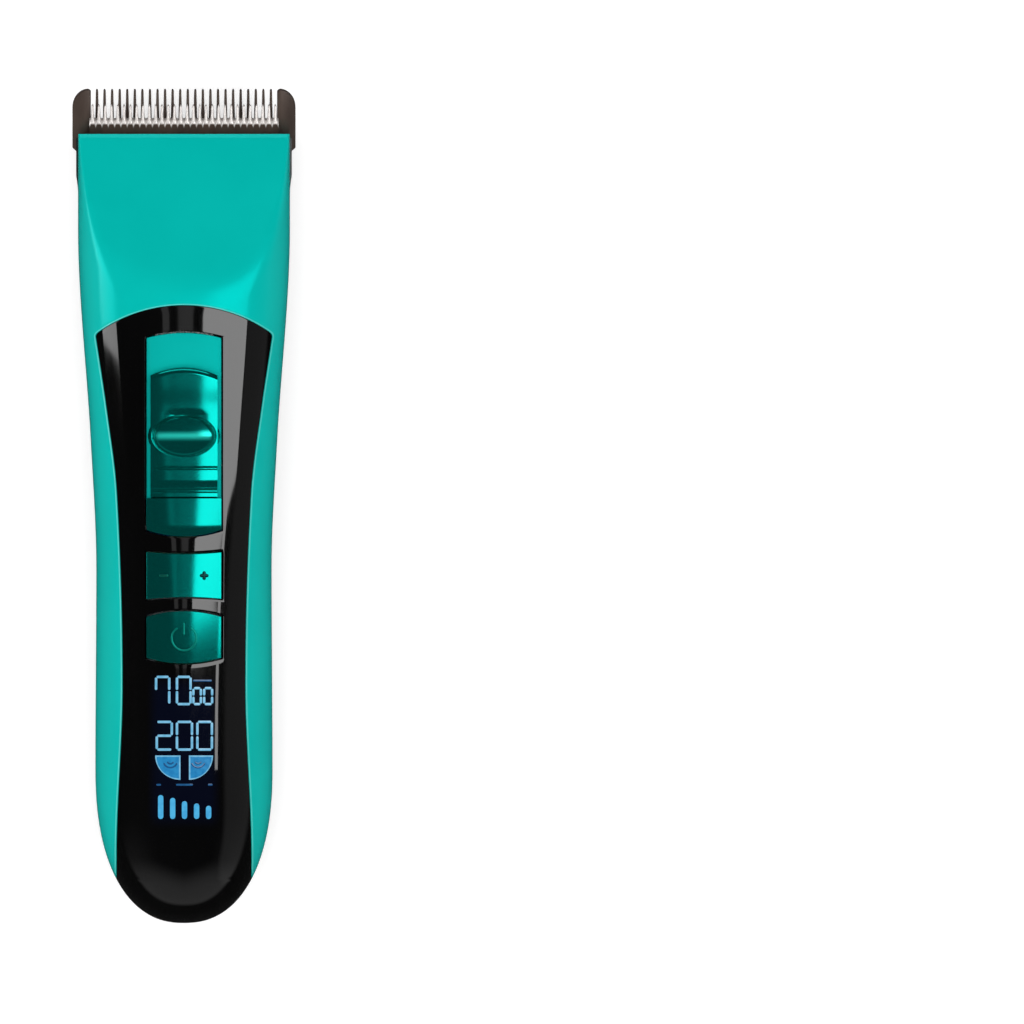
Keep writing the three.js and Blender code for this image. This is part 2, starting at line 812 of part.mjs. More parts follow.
function frontHousing() {
  const shell = common(cut(bodyOuter, bodyInner), above(partingHeight));
  const recess = raised(panelOutline(0), partingHeight - past, overTop);
  const deckEnd = yTail + tailDome;
  const deck = common(
    frontLayer(deckTop, deckUnder),
    raised(panelOutline(deckMargin), partingHeight, overTop),
    block(-wide, wide, deckEnd, yPanelTop + deckMargin, partingHeight, overTop),
  );
  const bosses = screwPlaces.map(([, x, y]) => {
    const boss = post(x, y, bossRadius, partingHeight, frontHeight);
    return common(boss, bodyLoft(wall - wallBite, yNose), sideLimits(wall - wallBite));
  });
  const pilotTop = screwTop + pilotBeyondScrew;
  const pilots = screwPlaces.map(([, x, y]) => post(x, y, screwHole, partingHeight - past, pilotTop));
  const openings = [
    bladeMouth(),
    raised(rockerOutline(flangeMargin + flangeRoom), aboveMiddle, overTop),
    raised(powerOutline(flangeMargin + flangeRoom), aboveMiddle, overTop),
    raised(displayOutline(displayRoom), aboveMiddle, overTop),
    raised(slotOutline(fitGap), aboveMiddle, overTop),
  ];
  return cut(join(cut(shell, recess), deck, ...bosses), ...pilots, ...openings);
}

function rearHousing() {
  const shell = common(cut(bodyOuter, bodyInner), below(partingHeight - seamGap), behind(yRearEnd));
  const inside = common(bodyLoft(wall - wallBite, yNose), sideLimits(wall - wallBite));
  const bossNeck = screwSeat + bossFootHeight;
  const bosses = screwPlaces.map(([, x, y]) => common(inside, turned([
    [0, 0], [bossFoot, 0], [bossFoot, bossNeck], [bossRadius, bossNeck + bossTaper],
    [bossRadius, partingHeight - seamGap], [0, partingHeight - seamGap],
  ], x, y)));
  const holes = screwPlaces.flatMap(([, x, y]) => [
    post(x, y, headHole, -past, screwSeat), post(x, y, screwHole, screwSeat - past, partingHeight + past),
  ]);
  const batteryBed = barY(
    batteryRadius + fitGap, yBatteryBack - past, yBatteryFront + past, 0, batteryHeight);
  const bedRib = (y) => common(
    inside, block(-wide, wide, y - bedRibHalf, y + bedRibHalf, 0, batteryHeight - bedRibBelowAxis));
  const ribs = [yBatteryBack + bedRibFromBack, yBatteryFront - bedRibFromFront].map(
    (y) => cut(bedRib(y), batteryBed));
  const postTop = leverPivotHeight + leverPin + pivotPostOverPin;
  const pivotPost = (x0, x1) => common(
    inside, block(x0, x1, yLever - pivotPostHalf, yLever + pivotPostHalf, 0, postTop));
  const leftFace = leverX - fitGap;
  const rightFace = leverX + leverThickness + fitGap;
  const posts = [
    pivotPost(leftFace - pivotPostThickness, leftFace),
    pivotPost(rightFace, rightFace + pivotPostThickness),
  ];
  const pinHole = barX(leverPin + leverPinFit, leftFace - past, rightFace + past, yLever, leverPivotHeight);
  const hooks = [-1, 1].map((side) => {
    const x0 = side * hookX - hookWidth / 2;
    const x1 = x0 + hookWidth;
    const ring = barX(hookOuter, x0, x1, yHinge, zHinge);
    const arm = block(x0, x1, yRearEnd - hookArmRoot, yHinge, zHinge - hookArmHalf, zHinge + hookArmHalf);
    return cut(join(ring, arm), barX(hingePin + fitGap, x0 - past, x1 + past, yHinge, zHinge));
  });
  const yPocket = yTail + inletPocket;
  const inletPad = common(inside, block(-inletPadHalf, inletPadHalf, yTail, yPocket + inletPadWall,
    inletHeight - inletPadRise, inletHeight + inletPadRise));
  const pocket = raised(
    roundedRect(inletPocketHalf, inletPocket + past, inletPocketCorner, 0, yTail - past),
    inletHeight - inletPocketRise, inletHeight + inletPocketRise);
  const slotRise = inletThickness / 2 + fitGap;
  const inletSlot = along(
    roundedRect(inletHalf + fitGap, slotRise, slotRise - 0.01, 0, inletHeight), yTail, yPocket + inletDepth);
  const whole = join(shell, ...bosses, ...ribs, ...posts, ...hooks, inletPad);
  return cut(whole, ...holes, pinHole, pocket, inletSlot);
}

function frontPanel() {
  const layer = cut(bodyOuter, bodyLoft(panelThickness, yNose + 2));
  const outline = raised(panelOutline(-panelGap), partingHeight, overTop);
  const body = common(layer, outline, above(partingHeight));
  return cut(body,
    raised(columnOutline(fitGap), aboveMiddle, overTop),
    raised(rockerOutline(buttonGap), aboveMiddle, overTop),
    raised(powerOutline(buttonGap), aboveMiddle, overTop));
}

function housingScrew(x, y) {
  return turned([
    [0, screwSeat - screwHeadHeight], [screwHead, screwSeat - screwHeadHeight],
    [screwHead, screwSeat - screwHeadBevel], [screwShank, screwSeat - fitGap],
    [screwShank, screwTop], [0, screwTop],
  ], x, y, 12);
}

place('front_housing', frontHousing(), tealPlastic);
place('rear_housing', rearHousing(), blackPlastic);
place('front_panel', frontPanel(), glossBlack);
for (const [name, x, y] of screwPlaces) place(name, housingScrew(x, y), plainSteel);

// ---------------------------------------------------------------------------------------------
// Taper slider, its lever and the link to the blade set
// ---------------------------------------------------------------------------------------------

const yKnobEnd = yKnobTop - knobLength;
const detentX = carriageHalf + fitGap;
const detentOuter = detentX + detentBow + detentThickness;
const carriageTop = frontAt(detentOuter, yColumnEnd, deckUnder) - deckFacetGap;
const carriageUnder = carriageTop - carriageThickness;
const leverTop = carriageUnder - leverHead - linkRunGap;
const leverLength = leverTop - leverPivotHeight;
const leverRest = -sliderTravel / 2 / leverLength;
const linkRise = (leverLength * adjustTravel) / sliderTravel;
const linkPinHeight = leverPivotHeight + linkRise * Math.cos(leverRest);
const yLinkPin = yLever + linkRise * Math.sin(leverRest);
const yLeverTop = yLever + leverLength * Math.sin(leverRest);

// The flat track in front of the knob, and the fixed block behind it that ends the column.
function sliderTrack() {
  const outline = columnOutline(0);
  const under = bodyLoft(trackDip + trackThickness, yNose, fine);
  const plate = common(cut(bodyLoft(trackDip, yNose, fine), under), raised(outline, aboveMiddle, overTop));
  const blockTop = yKnobEnd - fitGap;
  const endBlock = common(
    cut(bodyLoft(-buttonProud, yNose, fine), under),
    raised(outline, aboveMiddle, overTop),
    behind(blockTop),
  );
  return cut(join(plate, endBlock), raised(slotOutline(fitGap), aboveMiddle, overTop));
}

// A crowned knob: bowed front edge, a scoop that the thumb drops into, an oval bump, and cross grooves.
function taperSlider() {
  const outline = bowedOutline(sliderHalf - knobSideGap, yKnobEnd, yKnobTop, 0, knobTopSagitta, 0);
  const crown = common(bodyLoft(-knobProud, yNose, fine), raised(outline, aboveMiddle, overTop));
  const bottom = bodyLoft(trackDip - fitGap, yNose, fine);
  const yBump = yKnobTop - thumbBumpBelowKnobTop;
  const knobTop = frontHeight + knobProud;
  const yScoop = (yKnobTop + yBump + thumbBumpHalfLength) / 2;
  const scoop = barX(knobScoopRadius, -wide, wide, yScoop, knobTop + knobScoopRadius - knobScoopDepth, 48);
  const bump = new THREE.SphereGeometry(1, 20, 10).rotateX(Math.PI / 2);
  bump.scale(thumbBumpHalfWidth, thumbBumpHalfLength, thumbBumpHeight + 1);
  const dome = common(
    solidOf(bump.translate(0, yBump, knobTop - 1)), above(frontHeight));
  const grooves = knobGrooves.map((ahead) => block(-wide, wide, yKnobEnd + ahead - knobGrooveHalf,
    yKnobEnd + ahead + knobGrooveHalf, knobTop - knobGrooveDepth, overTop));
  const body = join(cut(crown, bottom, scoop, ...grooves), dome);
  const stem = block(-stemHalf, stemHalf, ySlot - stemLength / 2, ySlot + stemLength / 2,
    carriageTop + fitGap, frontHeight);
  return join(body, stem);
}

// The plate that snaps on under the deck, with two cheeks that take the lever's head between them.
function sliderCarriage() {
  const cheekGap = leverHead + fitGap;
  const cheek = (y0, y1) => block(-carriageCheekSide, leverX + leverThickness + carriageCheekSide, y0, y1,
    leverTop - carriageCheekDrop, carriageTop);
  const backCheek = yLeverTop - cheekGap - carriageCheek;
  const back = Math.min(ySlot - stemLength / 2 - carriageMargin, backCheek);
  const front = ySlot + stemLength / 2 + carriageMargin;
  return join(
    block(-carriageHalf, carriageHalf, back, front, carriageUnder, carriageTop),
    cheek(backCheek, yLeverTop - cheekGap),
    cheek(yLeverTop + cheekGap, yLeverTop + cheekGap + carriageCheek),
  );
}

// A spring strip beside the carriage, bowed so that it clicks against it, held in a foot under the deck.
function detentSpring() {
  const y0 = ySlot - stemLength / 2;
  const y1 = ySlot + stemLength / 2 + sliderTravel;
  const outward = detentX + detentBow;
  const inward = detentX - detentBow;
  const shape = new THREE.Shape();
  shape.moveTo(outward, y0);
  shape.quadraticCurveTo(inward, (y0 + y1) / 2, outward, y1);
  shape.lineTo(outward + detentThickness, y1);
  shape.quadraticCurveTo(inward + detentThickness, (y0 + y1) / 2, outward + detentThickness, y0);
  const top = carriageTop - fitGap;
  const strip = raised(shape, carriageUnder, top);
  const foot = block(outward, outward + detentFootWidth, y0 - detentFootLength, y0, carriageUnder, top);
  return join(strip, foot);
}

// The upright lever: a foot round its pivot, a hole for the link's pin, and a round head in the carriage.
function adjustLever() {
  const shoulder = linkRise + leverShoulder;
  const neck = shoulder + leverTaper;
  const outline = new THREE.Shape();
  outline.absarc(0, 0, leverFoot, Math.PI, 2 * Math.PI);
  outline.lineTo(leverFoot, shoulder);
  outline.lineTo(leverNeckHalf, neck);
  outline.absarc(0, leverLength, leverHead, -0.4 * Math.PI, 1.4 * Math.PI);
  outline.lineTo(-leverNeckHalf, neck);
  outline.lineTo(-leverFoot, shoulder);
  const pivotHole = new THREE.Path().absarc(0, 0, leverPin + fitGap, 0, 2 * Math.PI);
  const linkHole = new THREE.Path().absarc(0, linkRise, linkPin + fitGap, 0, 2 * Math.PI);
  outline.holes.push(pivotHole, linkHole);
  const lever = extruded(outline, leverThickness, 6).applyMatrix4(sideBasis).rotateX(-leverRest);
  return solidOf(lever.translate(leverX, yLever, leverPivotHeight));
}

// The link: a pin in the lever, a step out past the motor, and a long bar to the carriage's lug.
const linkLow = partingHeight + touchGap;
const linkArmX = leverX + leverThickness + fitGap;
const lugBackY = bladeY(lugU, (linkLow + linkHeight - bladeZ(lugU, 0)) / cosBlade);

function adjustLink() {
  const linkTop = linkLow + linkHeight;
  const yStep = yLinkPin + linkStepAhead;
  const yStepFront = yStep + linkStepWidth;
  const armFace = linkArmX + linkArmThickness;
  const pin = barX(linkPin, leverX + touchGap, linkArmX + linkPin, yLinkPin, linkPinHeight, 12);
  const armLow = linkPinHeight - linkArmDrop;
  const arm = block(linkArmX, armFace, yLinkPin - linkArmHalf, yStepFront, armLow, linkTop);
  const step = block(linkArmX, linkX + linkWidth, yStep, yStepFront, linkLow, linkTop);
  const bar = block(linkX, linkX + linkWidth, yStep, lugBackY - fitGap, linkLow, linkTop);
  return join(pin, arm, step, bar);
}

const leverPinReach = fitGap + pivotPostThickness;

place('slider_track', sliderTrack(), tealPlastic);
place('taper_slider', taperSlider(), glossTeal);
place('slider_carriage', sliderCarriage(), whitePlastic);
place('detent_spring', detentSpring(), plainSteel);
place('adjust_lever', adjustLever(), whitePlastic);
place('lever_pin', barX(leverPin, leverX - leverPinReach, leverX + leverThickness + leverPinReach, yLever,
  leverPivotHeight), plainSteel);
place('adjust_link', adjustLink(), whitePlastic);

// ---------------------------------------------------------------------------------------------
// Buttons, display and circuit board
// ---------------------------------------------------------------------------------------------

// A button cap follows the panel's crown, with a flange that the panel holds down. The rocker's flange
// lies lower, so that its rising end stays clear of the panel.
function buttonCap(outline, flangeDrop) {
  const flangeTop = panelThickness + flangeDrop;
  const stemUnder = bodyLoft(flangeTop + flangeThickness, yNose);
  const cap = cut(
    common(bodyLoft(-buttonProud, yNose, fine), raised(outline(0), aboveMiddle, overTop)), stemUnder);
  const flange = cut(
    common(bodyLoft(flangeTop, yNose), raised(outline(flangeMargin), aboveMiddle, frontHeight)), stemUnder);
  return join(cap, flange);
}

const yRocker = (yRockerTop + yRockerEnd) / 2;
const yPower = (yPowerTop + yPowerEnd) / 2;
const switchPlaces = [
  ['tact_switch_minus', -rockerSwitchX, yRocker, rockerDimple],
  ['tact_switch_plus', rockerSwitchX, yRocker, rockerDimple],
  ['tact_switch_power', 0, yPower, powerDimple],
];
const boardFront = yColumnEnd;
const boardBack = yDisplayEnd - boardBehindDisplay;

function tactSwitch(x, y) {
  const half = switchSize / 2;
  const top = boardTop + switchHeight;
  const body = block(x - half, x + half, y - half, y + half, boardTop, top);
  return join(body, post(x, y, switchPlunger, top - touchGap, top + switchPlungerRise, 12));
}

// A silicone pad over the switches: a skirt that stands on the board, with a dimple at each switch.
function buttonPad() {
  const half = boardHalf - padMargin;
  const halfLength = (yRockerTop - yPowerEnd) / 2 - padEndMargin;
  const mid = (yRockerTop + yPowerEnd) / 2;
  const outline = roundedRect(half, halfLength, padCorner, 0, mid);
  const inside = roundedRect(half - padWall, halfLength - padWall, padCorner / 2, 0, mid);
  const top = boardTop + padHeight;
  const domes = switchPlaces.map(([, x, y, dimple]) =>
    post(x, y, dimpleRadius, top - touchGap, top + dimple, 12));
  const sheet = cut(raised(outline, boardTop, top), raised(inside, boardTop - past, top - padSheet));
  return join(sheet, ...domes);
}

function circuitBoard() {
  const mid = (boardFront + boardBack) / 2;
  const outline = roundedRect(boardHalf, (boardFront - boardBack) / 2, boardCorner, 0, mid);
  const hole = new THREE.Path().absarc(0, boardBack + boardHoleAhead, boardHole, 0, 2 * Math.PI);
  outline.holes.push(hole);
  return raised(outline, boardTop - boardThickness, boardTop);
}

function displayModule() {
  const top = boardTop + displayThickness;
  const view = roundedRect(
    displayHalf - displayRim, displayLength / 2 - displayRim, displayCorner / 2, 0, yDisplay);
  return cut(raised(displayOutline(0), boardTop, top), raised(view, top - displayRimRise, top + past));
}

place('speed_rocker', buttonCap(rockerOutline, rockerFlangeDrop), glossTeal);
place('power_button', buttonCap(powerOutline, fitGap), glossTeal);
place('button_pad', buttonPad(), silicone);
place('circuit_board', circuitBoard(), boardGreen);
place('display_module', displayModule(), displayGlass);
for (const [name, x, y] of switchPlaces) place(name, tactSwitch(x, y), plainSteel);

// ---------------------------------------------------------------------------------------------
// Battery and charging inlet
// ---------------------------------------------------------------------------------------------

function batteryCell() {
  const canFront = yBatteryFront - batteryNub;
  const can = barY(batteryRadius, yBatteryBack, canFront, 0, batteryHeight);
  return join(can, barY(batteryNubRadius, canFront - batteryNub, yBatteryFront, 0, batteryHeight, 12));
}

// A flat strip up the cell's end, back over its wrap and up to the circuit board.
function batteryTab(yEnd, inward) {
  const y = (depth) => yEnd + inward * depth;
  const low = batteryHeight - tabDrop;
  const over = batteryHeight + batteryRadius + fitGap;
  const high = boardTop - boardThickness - touchGap;
  const profile = [
    [y(-tabThickness), low], [y(0), low], [y(0), over], [y(tabRun + tabThickness), over],
    [y(tabRun + tabThickness), high], [y(tabRun), high], [y(tabRun), over + tabThickness],
    [y(-tabThickness), over + tabThickness],
  ];
  return across(polygon(inward > 0 ? profile : profile.reverse()), -tabWidth / 2, tabWidth / 2);
}

// The inlet's metal shell is an oval tube with a backplate; its tongue stands in the middle.
const yInlet = yTail + inletPocket + wallBite;

function inletShell() {
  const oval = (inset) => roundedRect(inletHalf - inset, inletThickness / 2 - inset,
    inletThickness / 2 - inset - 0.02, 0, inletHeight);
  const back = yInlet + inletDepth;
  const bore = along(oval(inletWall), yInlet - past, back - inletBackplate, 5);
  return cut(along(oval(0), yInlet, back, 5), bore);
}

function inletTongue() {
  return block(-inletTongueHalf, inletTongueHalf, yInlet + inletTongueSetBack,
    yInlet + inletDepth - inletBackplate, inletHeight - inletTongueRise, inletHeight + inletTongueRise);
}

function inletBoard() {
  const back = yTail + inletPocket + inletBoardAhead;
  return block(-inletBoardHalf, inletBoardHalf, back, back + inletBoardLength,
    inletRoof + touchGap, inletRoof + touchGap + inletBoardThickness);
}

const inletRoof = inletHeight + inletThickness / 2;

place('battery_cell', batteryCell(), batteryWrap);
place('battery_tab_front', batteryTab(yBatteryFront + fitGap, -1), plainSteel);
place('battery_tab_back', batteryTab(yBatteryBack - fitGap, 1), plainSteel);
place('inlet_shell', inletShell(), plainSteel);
place('inlet_tongue', inletTongue(), blackPlastic);
place('inlet_board', inletBoard(), boardGreen);

// ---------------------------------------------------------------------------------------------
// Motor and drive
// ---------------------------------------------------------------------------------------------

const flattened = (radius, halfHeight) => (y0, y1) => common(
  barY(radius, y0, y1, 0, motorHeight),
  block(-wide, wide, y0, y1, motorHeight - halfHeight, motorHeight + halfHeight));

function motorCan() {
  const can = flattened(motorRadius, motorFlat)(yMotorBack, yMotorFront);
  const boss = barY(motorBossRadius, yMotorFront - fitGap, yMotorFront + motorBossLength, 0, motorHeight, 16);
  const bore = barY(shaftRadius + fitGap, yShaftBack - fitGap, yMotorFront + camGap, 0, motorHeight, 12);
  return cut(join(can, boss), bore);
}

// The end cap closes the can and carries the two brush terminals.
function motorCap() {
  const capBack = yMotorBack - motorCapThickness;
  const cap = flattened(motorRadius - motorCapStep, motorFlat - motorCapStep)(capBack, yMotorBack);
  const terminal = (x) => block(x - terminalWidth / 2, x + terminalWidth / 2, capBack - terminalLength,
    capBack + touchGap, motorHeight - terminalThickness / 2, motorHeight + terminalThickness / 2);
  return join(cap, terminal(-terminalX), terminal(terminalX));
}

const yCamBack = yMotorFront + camGap;
const yCamFront = yCamBack + camLength;
const yShaftBack = yMotorFront - shaftInCan;
const yShaftFront = yMotorFront + shaftReach;

function eccentricCam() {
  const hub = barY(camRadius, yCamBack, yCamFront, 0, motorHeight, 20);
  const pin = barY(camPin, yCamFront - fitGap, yCamFront + camPinLength, 0, motorHeight + camThrow, 12);
  const bore = barY(shaftRadius + fitGap, yCamBack - fitGap, yShaftFront + fitGap, 0, motorHeight, 12);
  return cut(join(hub, pin), bore);
}

// A plate across the housing in front of the motor, shaped to the housing, notched for the link.
function motorMount() {
  const inside = common(bodyLoft(wall + fitGap, yNose), sideLimits(wall + fitGap));
  const back = yMotorFront + fitGap;
  const front = back + mountThickness;
  const plate = common(inside, block(-mountHalf, mountHalf, back, front, motorHeight - mountDown,
    motorHeight + mountUp));
  const seat = barY(motorBossRadius + fitGap, back - fitGap, front + fitGap, 0, motorHeight, 16);
  const notch = block(linkX - linkRunGap, linkX + linkWidth + linkRunGap, back - fitGap, front + fitGap,
    linkLow - linkRunGap, linkLow + linkHeight + linkRunGap);
  const holes = [-motorScrewX, motorScrewX].map((x) =>
    barY(motorScrewRadius + fitGap, back - fitGap, front + fitGap, x, motorHeight, 12));
  return cut(plate, seat, notch, ...holes);
}

function motorScrew(x) {
  const seat = yMotorFront + fitGap + mountThickness + touchGap;
  return join(
    barY(motorScrewHead, seat, seat + motorScrewHeadHeight, x, motorHeight, 12),
    barY(motorScrewRadius, yMotorFront + touchGap, seat + touchGap, x, motorHeight, 12),
  );
}

place('motor_can', motorCan(), plainSteel);
place('motor_cap', motorCap(), blackPlastic);
place('motor_shaft', barY(shaftRadius, yShaftBack, yShaftFront, 0, motorHeight, 12), plainSteel);
place('eccentric_cam', eccentricCam(), whitePlastic);
place('motor_mount', motorMount(), blackPlastic);
place('motor_screw_left', motorScrew(-motorScrewX), plainSteel);
place('motor_screw_right', motorScrew(motorScrewX), plainSteel);

// ---------------------------------------------------------------------------------------------
// Blade set, drawn in the blade frame: X across, Y along u to the tips, Z along v off the blade plane
// ---------------------------------------------------------------------------------------------

// A comb outline: teeth between two limits, then the body's outline back to its heel.
function toothRow(count, pitch, tipHalf, rootHalf, tipU, rootU) {
  const points = [];
  for (let i = 0; i < count; i += 1) {
    const x = (i - (count - 1) / 2) * pitch;
    points.push([x - rootHalf, rootU], [x - tipHalf, tipU - tipHalf], [x, tipU]);
    points.push([x + tipHalf, tipU - tipHalf], [x + rootHalf, rootU]);
  }
  return points;
}

// The fixed blade: slender teeth between two broad rounded cheeks, bevelled under its tips.
function fixedBlade() {
  const teeth = toothRow(
    fixedToothCount, fixedToothPitch, fixedToothTip / 2, fixedToothRoot / 2, 0, -fixedToothLength);
  const corner = Array.from({ length: 7 }, (_, i) => {
    const angle = (Math.PI / 2) * (1 - i / 6);
    return [fixedHalf - cheekCornerWidth * (1 - Math.cos(angle)), -cheekCornerLength * (1 - Math.sin(angle))];
  });
  const heel = Array.from({ length: 6 }, (_, i) => {
    const angle = (Math.PI / 2) * (i / 5);
    return [fixedHeelHalf - fixedHeelRound * (1 - Math.cos(angle)),
      fixedHeelRound * (1 - Math.sin(angle)) - fixedLength];
  });
  const rightSide = [[cheekInner, -fixedToothLength], [cheekInner, -cheekSetBack], ...corner,
    [fixedHalf, -cheekLength], [fixedHeelHalf, -cheekLength - fixedHeelStep], ...heel];
  const leftSide = rightSide.map(([x, u]) => [-x, u]).reverse();
  const plate = raised(polygon([...leftSide, ...teeth, ...rightSide]), 0, fixedThickness);
  const bevelTop = fixedThickness - tipThickness;
  const bevel = across(polygon([
    [-tipBevel, -past], [past, -past], [past, bevelTop], [0, bevelTop], [-tipBevel, 0],
  ]), -wide, wide);
  const hole = bladeScrewRadius + fitGap + touchGap;
  const coneRim = bladeScrewHead + fitGap;
  const screwCone = (x) => turned([
    [0, -past], [coneRim, -past], [coneRim, wallBite], [hole, bladeScrewHeadHeight],
    [hole, fixedThickness + past], [0, fixedThickness + past]], x, bladeScrewU, 16);
  return cut(plate, bevel, screwCone(-bladeScrewX), screwCone(bladeScrewX));
}

// The cutter: finer teeth, ground down to their tips, and a narrower body with two holes for the yoke.
function movingBlade() {
  const tip = -cutterSetBack;
  const root = tip - cutterToothLength;
  const teeth = toothRow(
    cutterToothCount, cutterToothPitch, cutterToothTip / 2, cutterToothRoot / 2, tip, root);
  const rowBack = root - cutterRowDepth;
  const heel = tip - cutterLength;
  const rightSide = [[cutterRowHalf, root], [cutterRowHalf, rowBack], [cutterBodyHalf, rowBack - cutterNeck],
    [cutterBodyHalf, heel + cutterHeelCorner], [cutterBodyHalf - cutterHeelCorner, heel]];
  const leftSide = rightSide.map(([x, u]) => [-x, u]).reverse();
  const plate = raised(polygon([...leftSide, ...teeth, ...rightSide]), cutterBottom, cutterTop);
  const grindBack = root - cutterGrindBehindRoot;
  const grind = across(polygon([
    [grindBack, cutterTop + past], [grindBack, cutterTop], [tip + past, cutterBottom + cutterEdge],
    [tip + past, cutterTop + past],
  ]), -wide, wide);
  const holes = [-yokePegX, yokePegX].map((x) =>
    post(x, yokePegU, yokePegRadius + fitGap, cutterBottom - past, cutterTop + past, 12));
  return cut(plate, grind, ...holes);
}

// The screws come up from under the fixed blade into the blade base.
function bladeScrew(x) {
  return turned([
    [0, touchGap], [bladeScrewHead, touchGap], [bladeScrewHead, fitGap],
    [bladeScrewRadius, bladeScrewHeadHeight + touchGap], [bladeScrewRadius, bladeScrewLength],
    [0, bladeScrewLength]], x, bladeScrewU, 12);
}

// The blade base: a wedge between the fixed blade and the housing, open over the cutter, hinged at its heel.
function bladeBase() {
  const under = fixedThickness + fitGap;
  const top = partingHeight - fitGap;
  const frontU = (top - zTip - under * cosBlade) / sinBlade;
  const behindHeel = -fixedLength - fitGap;
  const barrel = Array.from({ length: 9 }, (_, i) => {
    const angle = -Math.PI / 2 + bladeAngle - (barrelTurn * i) / 8;
    return [yHinge + hingeBarrel * Math.cos(angle), zHinge + hingeBarrel * Math.sin(angle)];
  });
  const backX = barrel[8][0];
  const profile = polygon([
    [bladeY(frontU, under), top],
    [bladeY(behindHeel, under), bladeZ(behindHeel, under)],
    [bladeY(behindHeel, hingeRise - hingeBarrel), bladeZ(behindHeel, hingeRise - hingeBarrel)],
    ...barrel,
    [backX + fitGap, top - heelRim],
    [backX + heelRim, top],
  ].reverse());
  const wedge = common(across(profile, -wide, wide), bodyLoft(-baseProud, yNose + 1, fine));
  const opening = bladeBlock(-railInner, railInner, carriageBack - hingeSideGap, 20, -10, 30);
  const notches = [-1, 1].map((side) => {
    const x0 = side * hookX - hookWidth / 2 - hingeSideGap;
    const x1 = side * hookX + hookWidth / 2 + hingeSideGap;
    const room = hookOuter + hingeSideGap;
    return block(x0, x1, yHinge - room - past, yHinge + room, 0, zHinge + room);
  });
  const pins = [-1, 1].map((side) => {
    const half = hookWidth / 2 + hingePinRoot;
    return barX(hingePin, side * hookX - half, side * hookX + half, yHinge, zHinge, 12);
  });
  const pilots = [-bladeScrewX, bladeScrewX].map((x) => {
    const radius = bladeScrewRadius + fitGap;
    const hole = new THREE.CylinderGeometry(radius, radius, 2 * (bladeScrewLength + fitGap), 12);
    return solidOf(hole.rotateX(Math.PI / 2).translate(x, bladeScrewU, 0).applyMatrix4(bladeFrame));
  });
  return cut(join(cut(wedge, opening, ...notches), ...pins), ...pilots);
}

// A sliding frame behind and beside the cutter. The taper slider moves it, and the cutter goes with it.
function bladeCarriage() {
  const half = railInner - fitGap;
  const rail = half - carriageRailWidth;
  const barFront = carriageBack + carriageBar;
  const frame = raised(polygon([
    [-half, carriageBack], [half, carriageBack], [half, carriageEnd], [rail, carriageEnd],
    [rail, barFront], [-rail, barFront], [-rail, carriageEnd], [-half, carriageEnd],
  ]), carriageFloor, carriageRoof);
  const lug = block(linkX - lugMargin, linkX + linkWidth + lugMargin, lugU, lugU + lugThickness,
    carriageRoof - touchGap, lugHeight);
  return join(frame, lug);
}

// The yoke bridges the cutter. Its slot is wide enough for the pin at every angle and stroke.
const forkSlotHalf = camPin + camThrow + cutterTravel + fitGap;

function driveYoke() {
  const plate = raised(roundedRect(yokeHalf, yokePlateHalf, 1, 0, yokePegU), yokeFoot, yokePlateTop);
  const pegs = [-yokePegX, yokePegX].map((x) =>
    post(x, yokePegU, yokePegRadius, cutterBottom + fitGap, yokeFoot + fitGap, 12));
  const stemFront = yokeStemU + yokeStemWidth;
  const forkFront = forkU + forkLength / 2;
  const forkBack = forkU - forkLength / 2;
  const side = across(polygon([
    [stemFront, yokePlateTop - touchGap], [stemFront, forkFloor], [forkFront, forkFloor],
    [forkFront, forkFloor + forkHeight], [forkBack, forkFloor + forkHeight],
    [forkBack, forkFloor - forkArmThickness], [yokeStemU, forkFloor - forkArmThickness],
    [yokeStemU, yokePlateTop - touchGap],
  ].reverse()), -forkSlotHalf - forkCheek, forkSlotHalf + forkCheek);
  const slot = block(-forkSlotHalf, forkSlotHalf, forkBack - past, forkFront + past,
    forkFloor, forkFloor + forkHeight + past);
  return join(plate, cut(side, slot), ...pegs);
}

// One bent wire: across the carriage's back, forward along both sides, and in over the yoke's shoulders.
function bladeSpring() {
  const onFrame = carriageRoof + fitGap + springWire;
  const onYoke = yokePlateTop + fitGap + springWire;
  const sideX = railInner - fitGap - springFromSide;
  const kneeU = yokePegU - 0.5;
  const side = [
    [sideX, carriageBack + carriageBar, onFrame], [sideX, kneeU, onFrame],
    [sideX - springInset, kneeU + springFromSide, onYoke],
    [yokePegX + springWire, kneeU + springFromSide + fitGap, onYoke],
  ];
  const rightSide = side.map(([x, u, v]) => new THREE.Vector3(x, u, v));
  const leftSide = side.map(([x, u, v]) => new THREE.Vector3(-x, u, v)).reverse();
  const path = new THREE.CatmullRomCurve3([...leftSide, ...rightSide], false, 'catmullrom', 0.2);
  const section = new THREE.Shape().absarc(0, 0, springWire, 0, 2 * Math.PI);
  return solidOf(new THREE.ExtrudeGeometry(section, { steps: 18, extrudePath: path, curveSegments: 6 }));
}

place('fixed_blade', fixedBlade(), darkSteel, bladeSet);
place('moving_blade', movingBlade(), groundSteel, bladeSet);
place('blade_screw_left', bladeScrew(-bladeScrewX), plainSteel, bladeSet);
place('blade_screw_right', bladeScrew(bladeScrewX), plainSteel, bladeSet);
place('blade_base', bladeBase(), blackPlastic);
place('blade_carriage', bladeCarriage(), whitePlastic, bladeSet);
place('drive_yoke', driveYoke(), whitePlastic, bladeSet);
place('blade_spring', bladeSpring(), plainSteel, bladeSet);

export default clipper;
